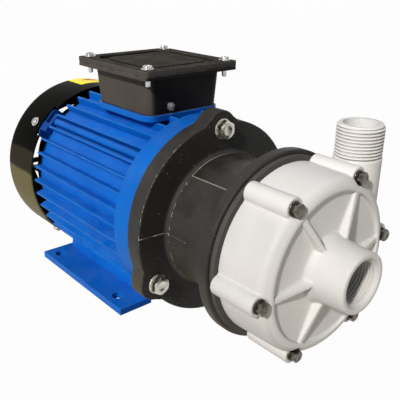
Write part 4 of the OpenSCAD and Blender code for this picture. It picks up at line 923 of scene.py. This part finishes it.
def cut_above(piece, height):
    """Takes off what stands above a height and closes the cut."""
    snap = 0.001 * MM
    bm = bmesh.new()
    bm.from_mesh(piece.data)
    geometry = bm.verts[:] + bm.edges[:] + bm.faces[:]
    bmesh.ops.bisect_plane(bm, geom=geometry, dist=snap, plane_co=(0, 0, height), plane_no=(0, 0, 1),
                           clear_outer=True)
    rim = [e for e in bm.edges if e.is_boundary]
    bmesh.ops.triangle_fill(bm, use_beauty=True, edges=rim)
    bm.to_mesh(piece.data)
    bm.free()


def lay_along_shaft(bm, foot):
    """Turns what stands on Z to lie along the shaft, and moves it to its foot."""
    bmesh.ops.rotate(bm, cent=(0, 0, 0), matrix=Matrix.Rotation(math.pi / 2, 3, "Y"), verts=bm.verts)
    bmesh.ops.translate(bm, vec=foot, verts=bm.verts)


pipe_crest = 16.62 * MM
pipe_root = 15.15 * MM
pipe_pitch = 2.31 * MM


def thread_wave(phase):
    """One turn of a rounded pipe thread: 0 at the root, 1 at the crest."""
    steepness = 1.35
    saw = abs((phase % 1.0) * 2 - 1)
    flank = min(max(0.5 + steepness * (saw - 0.5), 0.0), 1.0)
    return 0.5 - 0.5 * math.cos(math.pi * flank)


def threaded_skin(bm, crest_r, root_r, length, back_r, lead_in):
    """A ring with a thread on one side, standing on Z; back_r is its plain side."""
    rows_per_turn = 9
    steps = 96
    turns = [2 * math.pi * k / steps for k in range(steps)]
    rings = []
    for z in spread(0.0, length, int(length / (pipe_pitch / rows_per_turn))):
        depth = (crest_r - root_r) * min(1.0, z / lead_in, (length - z) / lead_in)
        radii = [root_r + depth * thread_wave(z / pipe_pitch - a / (2 * math.pi)) for a in turns]
        rings.append([bm.verts.new(polar(r, a, z)) for a, r in zip(turns, radii)])
    for z in (length, 0.0):
        rings.append([bm.verts.new(polar(back_r, a, z)) for a in turns])
    join_rings(bm, rings, closed=True)


casing_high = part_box("front_casing")[1]
outlet_x = 195.5 * MM
outlet_y = 47.4 * MM
outlet_bore = 12.5 * MM
outlet_thread = 23 * MM
outlet_foot = casing_high.z - outlet_thread
outlet_overlap = 0.6 * MM
inlet_thread = 22.8 * MM
inlet_setback = 1.2 * MM
inlet_play = 0.05 * MM
inlet_wall = 0.8 * MM
face_inner_r = 20 * MM
face_outer_r = 55.4 * MM
face_front = 213.9 * MM
face_back = 206 * MM

casing = merged_copy("front_casing", "front_casing_body")
cut_above(casing, outlet_foot)
face_bm = bmesh.new()
lathe(face_bm, [(face_inner_r, face_back), (face_outer_r, face_back), (face_outer_r, face_front),
                (face_inner_r, face_front)], steps=128, closed=True)
lay_along_shaft(face_bm, (0, 0, shaft_height))
casing_face = new_piece("casing_face", mesh_of(face_bm, "casing_face"))
casing = soften(join_pieces("front_casing_body", casing, casing_face), voxel=0.65 * MM, rounds=2, kept=0.36)

spigot_bm = bmesh.new()
threaded_skin(spigot_bm, crest_r=pipe_crest, root_r=pipe_root, length=outlet_thread + outlet_overlap,
              back_r=outlet_bore, lead_in=1.6 * MM)
bmesh.ops.translate(spigot_bm, vec=(outlet_x, outlet_y, outlet_foot - outlet_overlap), verts=spigot_bm.verts)
spigot = new_piece("spigot", mesh_of(spigot_bm, "spigot", smooth=60))

inlet_bm = bmesh.new()
threaded_skin(inlet_bm, crest_r=pipe_root, root_r=pipe_crest - inlet_play, length=inlet_thread,
              back_r=pipe_crest + inlet_wall, lead_in=1.2 * MM)
lay_along_shaft(inlet_bm, (casing_high.x - inlet_thread - inlet_setback, 0, shaft_height))
inlet = new_piece("inlet", mesh_of(inlet_bm, "inlet", smooth=60))

front_casing = join_pieces("front_casing_moulding", casing, spigot, inlet)
front_casing.data.materials.append(make_white_plastic())
fit(front_casing, "white_plastic", "front_casing")


# Casing bolts: six stainless bolts, each with a spring washer and a flat washer on its boss.
# They pull the front casing and the flange of the rear casing onto the bracket.
def spring_washer(bm, height, thickness, radius, hole):
    """A split ring whose two ends stand a little apart."""
    gap_angle = 0.18
    rise = 0.18 * thickness
    steps = 40
    section = ((hole, 0.0), (radius, 0.0), (radius, thickness), (hole, thickness))
    rows = []
    for k in range(steps + 1):
        a = gap_angle / 2 + (2 * math.pi - gap_angle) * k / steps
        lift = height + rise * (2 * k / steps - 1)
        rows.append([bm.verts.new(polar(r, a, lift + h)) for r, h in section])
    join_rings(bm, rows)
    bm.faces.new(rows[0])
    bm.faces.new(rows[-1][::-1])


dull_steel = make_bright_metal("dull stainless steel", (0.05, 0.043, 0.036, 1), (0.20, 0.18, 0.15, 1),
                               roughness=(0.2, 0.3))
dark_steel = make_bright_metal("blackened spring steel", (0.02, 0.018, 0.016, 1), (0.09, 0.08, 0.07, 1),
                               roughness=(0.3, 0.5), stain=0.3)
casing_bolt_circle = 63.7 * MM
casing_bolt_angle = 5.2
casing_head_r = 4.62 * MM
casing_shank_r = 2.4 * MM
casing_spring_r = 4.6 * MM
casing_washer_r = 5.3 * MM
casing_washer_hole = 2.8 * MM
casing_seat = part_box("casing_washers")[0].x
casing_washer_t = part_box("casing_washers")[1].x - casing_seat
casing_spring_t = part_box("casing_spring_washers")[1].x - casing_seat - casing_washer_t
casing_head_z = casing_washer_t + casing_spring_t
casing_head_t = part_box("casing_bolts")[1].x - casing_seat - casing_head_z
casing_bolt_len = casing_seat + casing_head_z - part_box("casing_bolts")[0].x
casing_bolt = template("casing_bolt", (hex_head, casing_head_z, casing_head_t, casing_head_r),
                       (shank, casing_head_z + shank_overlap, casing_bolt_len, casing_shank_r))
casing_washer = template("casing_washer",
                         (flat_washer, 0.0, casing_washer_t, casing_washer_r, casing_washer_hole))
casing_spring = template("casing_spring", (spring_washer, casing_washer_t, casing_spring_t, casing_spring_r,
                                           casing_washer_hole))
for name, part, node, finish in (
        ("casing_bolt_set", casing_bolt, "casing_bolts", dull_steel),
        ("casing_washer_set", casing_washer, "casing_washers", dull_steel),
        ("casing_spring_washer_set", casing_spring, "casing_spring_washers", dark_steel)):
    bolts = ring_of(name, part, 6, casing_bolt_circle, casing_bolt_angle, casing_seat, finish)
    bpy.data.objects.remove(part)
    fit(bolts, "stainless", node)


# Motor insides: a steel shaft on two ball bearings turns a sheet steel rotor inside the wound stator.
# The end shields carry the bearings, a spring washer presses on the rear one, and a plastic fan is behind it.
def make_plain(name, dark, light, roughness, metallic=0.0):
    material, tree, shader, skin = new_skin(name, grain=900.0, tone=80.0)
    colour = blend_colours(tree, skin["Tone"], dark, light)
    finish_skin(tree, shader, colour, skin["Tone"], (roughness, roughness + 0.14), skin["Grain"], 0.04 * MM)
    shader["Metallic"].default_value = metallic
    return material


steel = make_plain("turned steel", (0.42, 0.42, 0.43, 1), (0.62, 0.62, 0.62, 1), 0.26, metallic=1.0)
core_steel = make_plain("sheet steel core", (0.16, 0.16, 0.17, 1), (0.26, 0.25, 0.25, 1), 0.45, metallic=1.0)
cast_metal = make_plain("bare casting", (0.34, 0.35, 0.36, 1), (0.46, 0.46, 0.46, 1), 0.45, metallic=1.0)
copper = make_plain("varnished copper", (0.42, 0.14, 0.05, 1), (0.62, 0.24, 0.09, 1), 0.35, metallic=0.8)
fan_plastic = make_plain("fan plastic", (0.015, 0.015, 0.015, 1), (0.028, 0.027, 0.026, 1), 0.42)
for bearing in ("front_bearing", "rear_bearing"):
    paint(steel, bearing + "_outer", bearing + "_inner", bearing + "_balls")
paint(steel, "motor_shaft", "preload_washer", "fan_circlip", "end_shield_screws")
paint(core_steel, "stator_core", "rotor_core")
paint(cast_metal, "front_end_shield")
paint(copper, "stator_windings")
paint(fan_plastic, "cooling_fan")


# Terminal box insides: a resin board with brass studs, and the screws that hold the box to the motor's pad.
# A rubber sheet seals the box below, and a plastic gland with a rubber seal and a locknut is in its far side.
brass = make_plain("brass", (0.56, 0.38, 0.12, 1), (0.74, 0.54, 0.20, 1), 0.24, metallic=1.0)
resin_board = make_plain("resin board", (0.20, 0.08, 0.03, 1), (0.30, 0.13, 0.05, 1), 0.42)
rubber = make_plain("black rubber", (0.012, 0.012, 0.012, 1), (0.022, 0.021, 0.02, 1), 0.62)
paint(brass, "terminal_studs")
paint(resin_board, "terminal_board")
paint(steel, "box_screws")
paint(rubber, "box_gasket", "gland_seal")
paint(fan_plastic, "gland_body", "gland_nut", "gland_locknut")


# Magnet drive: a steel cup keyed to the motor shaft, with a set screw in its boss and magnet bars inside it.
# It turns round the can and drags the magnet ring in the impeller's sleeve with it.
magnet = make_plain("coated magnet", (0.10, 0.10, 0.11, 1), (0.18, 0.18, 0.19, 1), 0.32, metallic=0.9)
paint(core_steel, "drive_magnet_hub")
paint(steel, "shaft_key", "hub_set_screw")
paint(magnet, "drive_magnets", "impeller_magnet")


# Wet pieces: a moulded impeller with a carbon bush turns on a fixed ceramic spindle, between thrust rings.
# A welded ring closes its magnet in, and a rubber ring seals the two casings.
ceramic = make_plain("ceramic", (0.74, 0.70, 0.60, 1), (0.82, 0.79, 0.71, 1), 0.22)
carbon = make_plain("carbon", (0.030, 0.030, 0.032, 1), (0.055, 0.055, 0.058, 1), 0.36)
white_inner = make_plain("white wet plastic", (0.66, 0.65, 0.61, 1), (0.74, 0.73, 0.69, 1), 0.4)
paint(ceramic, "spindle", "rear_thrust_ring", "front_thrust_ring")
paint(carbon, "impeller_bush")
paint(white_inner, "impeller", "magnet_end_cap")
paint(rubber, "casing_o_ring")


# Stage: a pale floor that keeps a soft shadow, one key light from the left and a soft surround.
# The camera stands where the photograph was taken from.
def background_ray(tree):
    """1 for a ray that shows the background, straight or in a reflection, and 0 for one that lights."""
    path = put(tree, "ShaderNodeLightPath").outputs
    seen = maths(tree, "ADD", path["Is Camera Ray"], path["Is Glossy Ray"])
    return maths(tree, "ADD", seen, path["Is Transmission Ray"])


def make_floor():
    white_share = 0.975
    material, tree, shader = new_material("pale floor")
    shader["Base Color"].default_value = (0.42, 0.39, 0.33, 1)
    shader["Roughness"].default_value = 0.9
    white = put(tree, "ShaderNodeEmission", {"Color": (1, 1, 1, 1), "Strength": 1.0}).outputs[0]
    lit = tree.nodes["Principled BSDF"].outputs[0]
    share = maths(tree, "MULTIPLY", background_ray(tree), white_share)
    both = put(tree, "ShaderNodeMixShader", {0: share, 1: lit, 2: white}).outputs[0]
    tree.links.new(both, tree.nodes["Material Output"].inputs["Surface"])
    return material


floor_half = 40
floor_drop = 0.2 * MM
floor_bm = bmesh.new()
bmesh.ops.create_grid(floor_bm, x_segments=1, y_segments=1, size=floor_half)
bmesh.ops.translate(floor_bm, vec=(0, 0, -floor_drop), verts=floor_bm.verts)
floor = new_piece("floor", mesh_of(floor_bm, "floor"))
floor.data.materials.append(make_floor())

scene = bpy.context.scene
scene.world = bpy.data.worlds.new("soft surround")
scene.world.use_nodes = True
sky = scene.world.node_tree
surround = sky.nodes["Background"].inputs
sky_colour = (0.94, 0.97, 1.0, 1)
sky_light = 0.18
sky_seen = background_ray(sky)
sky.links.new(blend_colours(sky, sky_seen, sky_colour, (1, 1, 1, 1)), surround["Color"])
sky.links.new(ramp(sky, sky_seen, 0.0, 1.0, sky_light, 1.0), surround["Strength"])

key_towards = Vector((0.26, -0.77, 0.58))
key = bpy.data.objects.new("key_light", bpy.data.lights.new("key_light", "SUN"))
key.data.energy = 3.0
key.data.angle = math.radians(4)
key.data.color = (1.0, 0.97, 0.92)
key.rotation_mode = "QUATERNION"
key.rotation_quaternion = key_towards.to_track_quat("Z", "Y")
scene.collection.objects.link(key)

camera_place = Vector((416.85, -290.4, 267.7)) * MM
camera_azimuth = math.radians(49.0)
camera_elevation = math.radians(22.15)
camera_roll = math.radians(0.80)
focal_pixels = 580.7
image_pixels = 400
back = Vector((math.sin(camera_azimuth) * math.cos(camera_elevation),
               -math.cos(camera_azimuth) * math.cos(camera_elevation), math.sin(camera_elevation)))
level = Vector((math.cos(camera_azimuth), math.sin(camera_azimuth), 0))
upright = back.cross(level)
right = level * math.cos(camera_roll) + upright * math.sin(camera_roll)
camera = bpy.data.objects.new("camera", bpy.data.cameras.new("camera"))
camera.matrix_world = Matrix((right, back.cross(right), back)).transposed().to_4x4()
camera.location = camera_place
camera.data.sensor_width = 36.0
camera.data.lens = focal_pixels / image_pixels * camera.data.sensor_width
camera.data.clip_start = 0.01
camera.data.clip_end = 200
scene.collection.objects.link(camera)
scene.camera = camera
scene.view_settings.view_transform = "Standard"
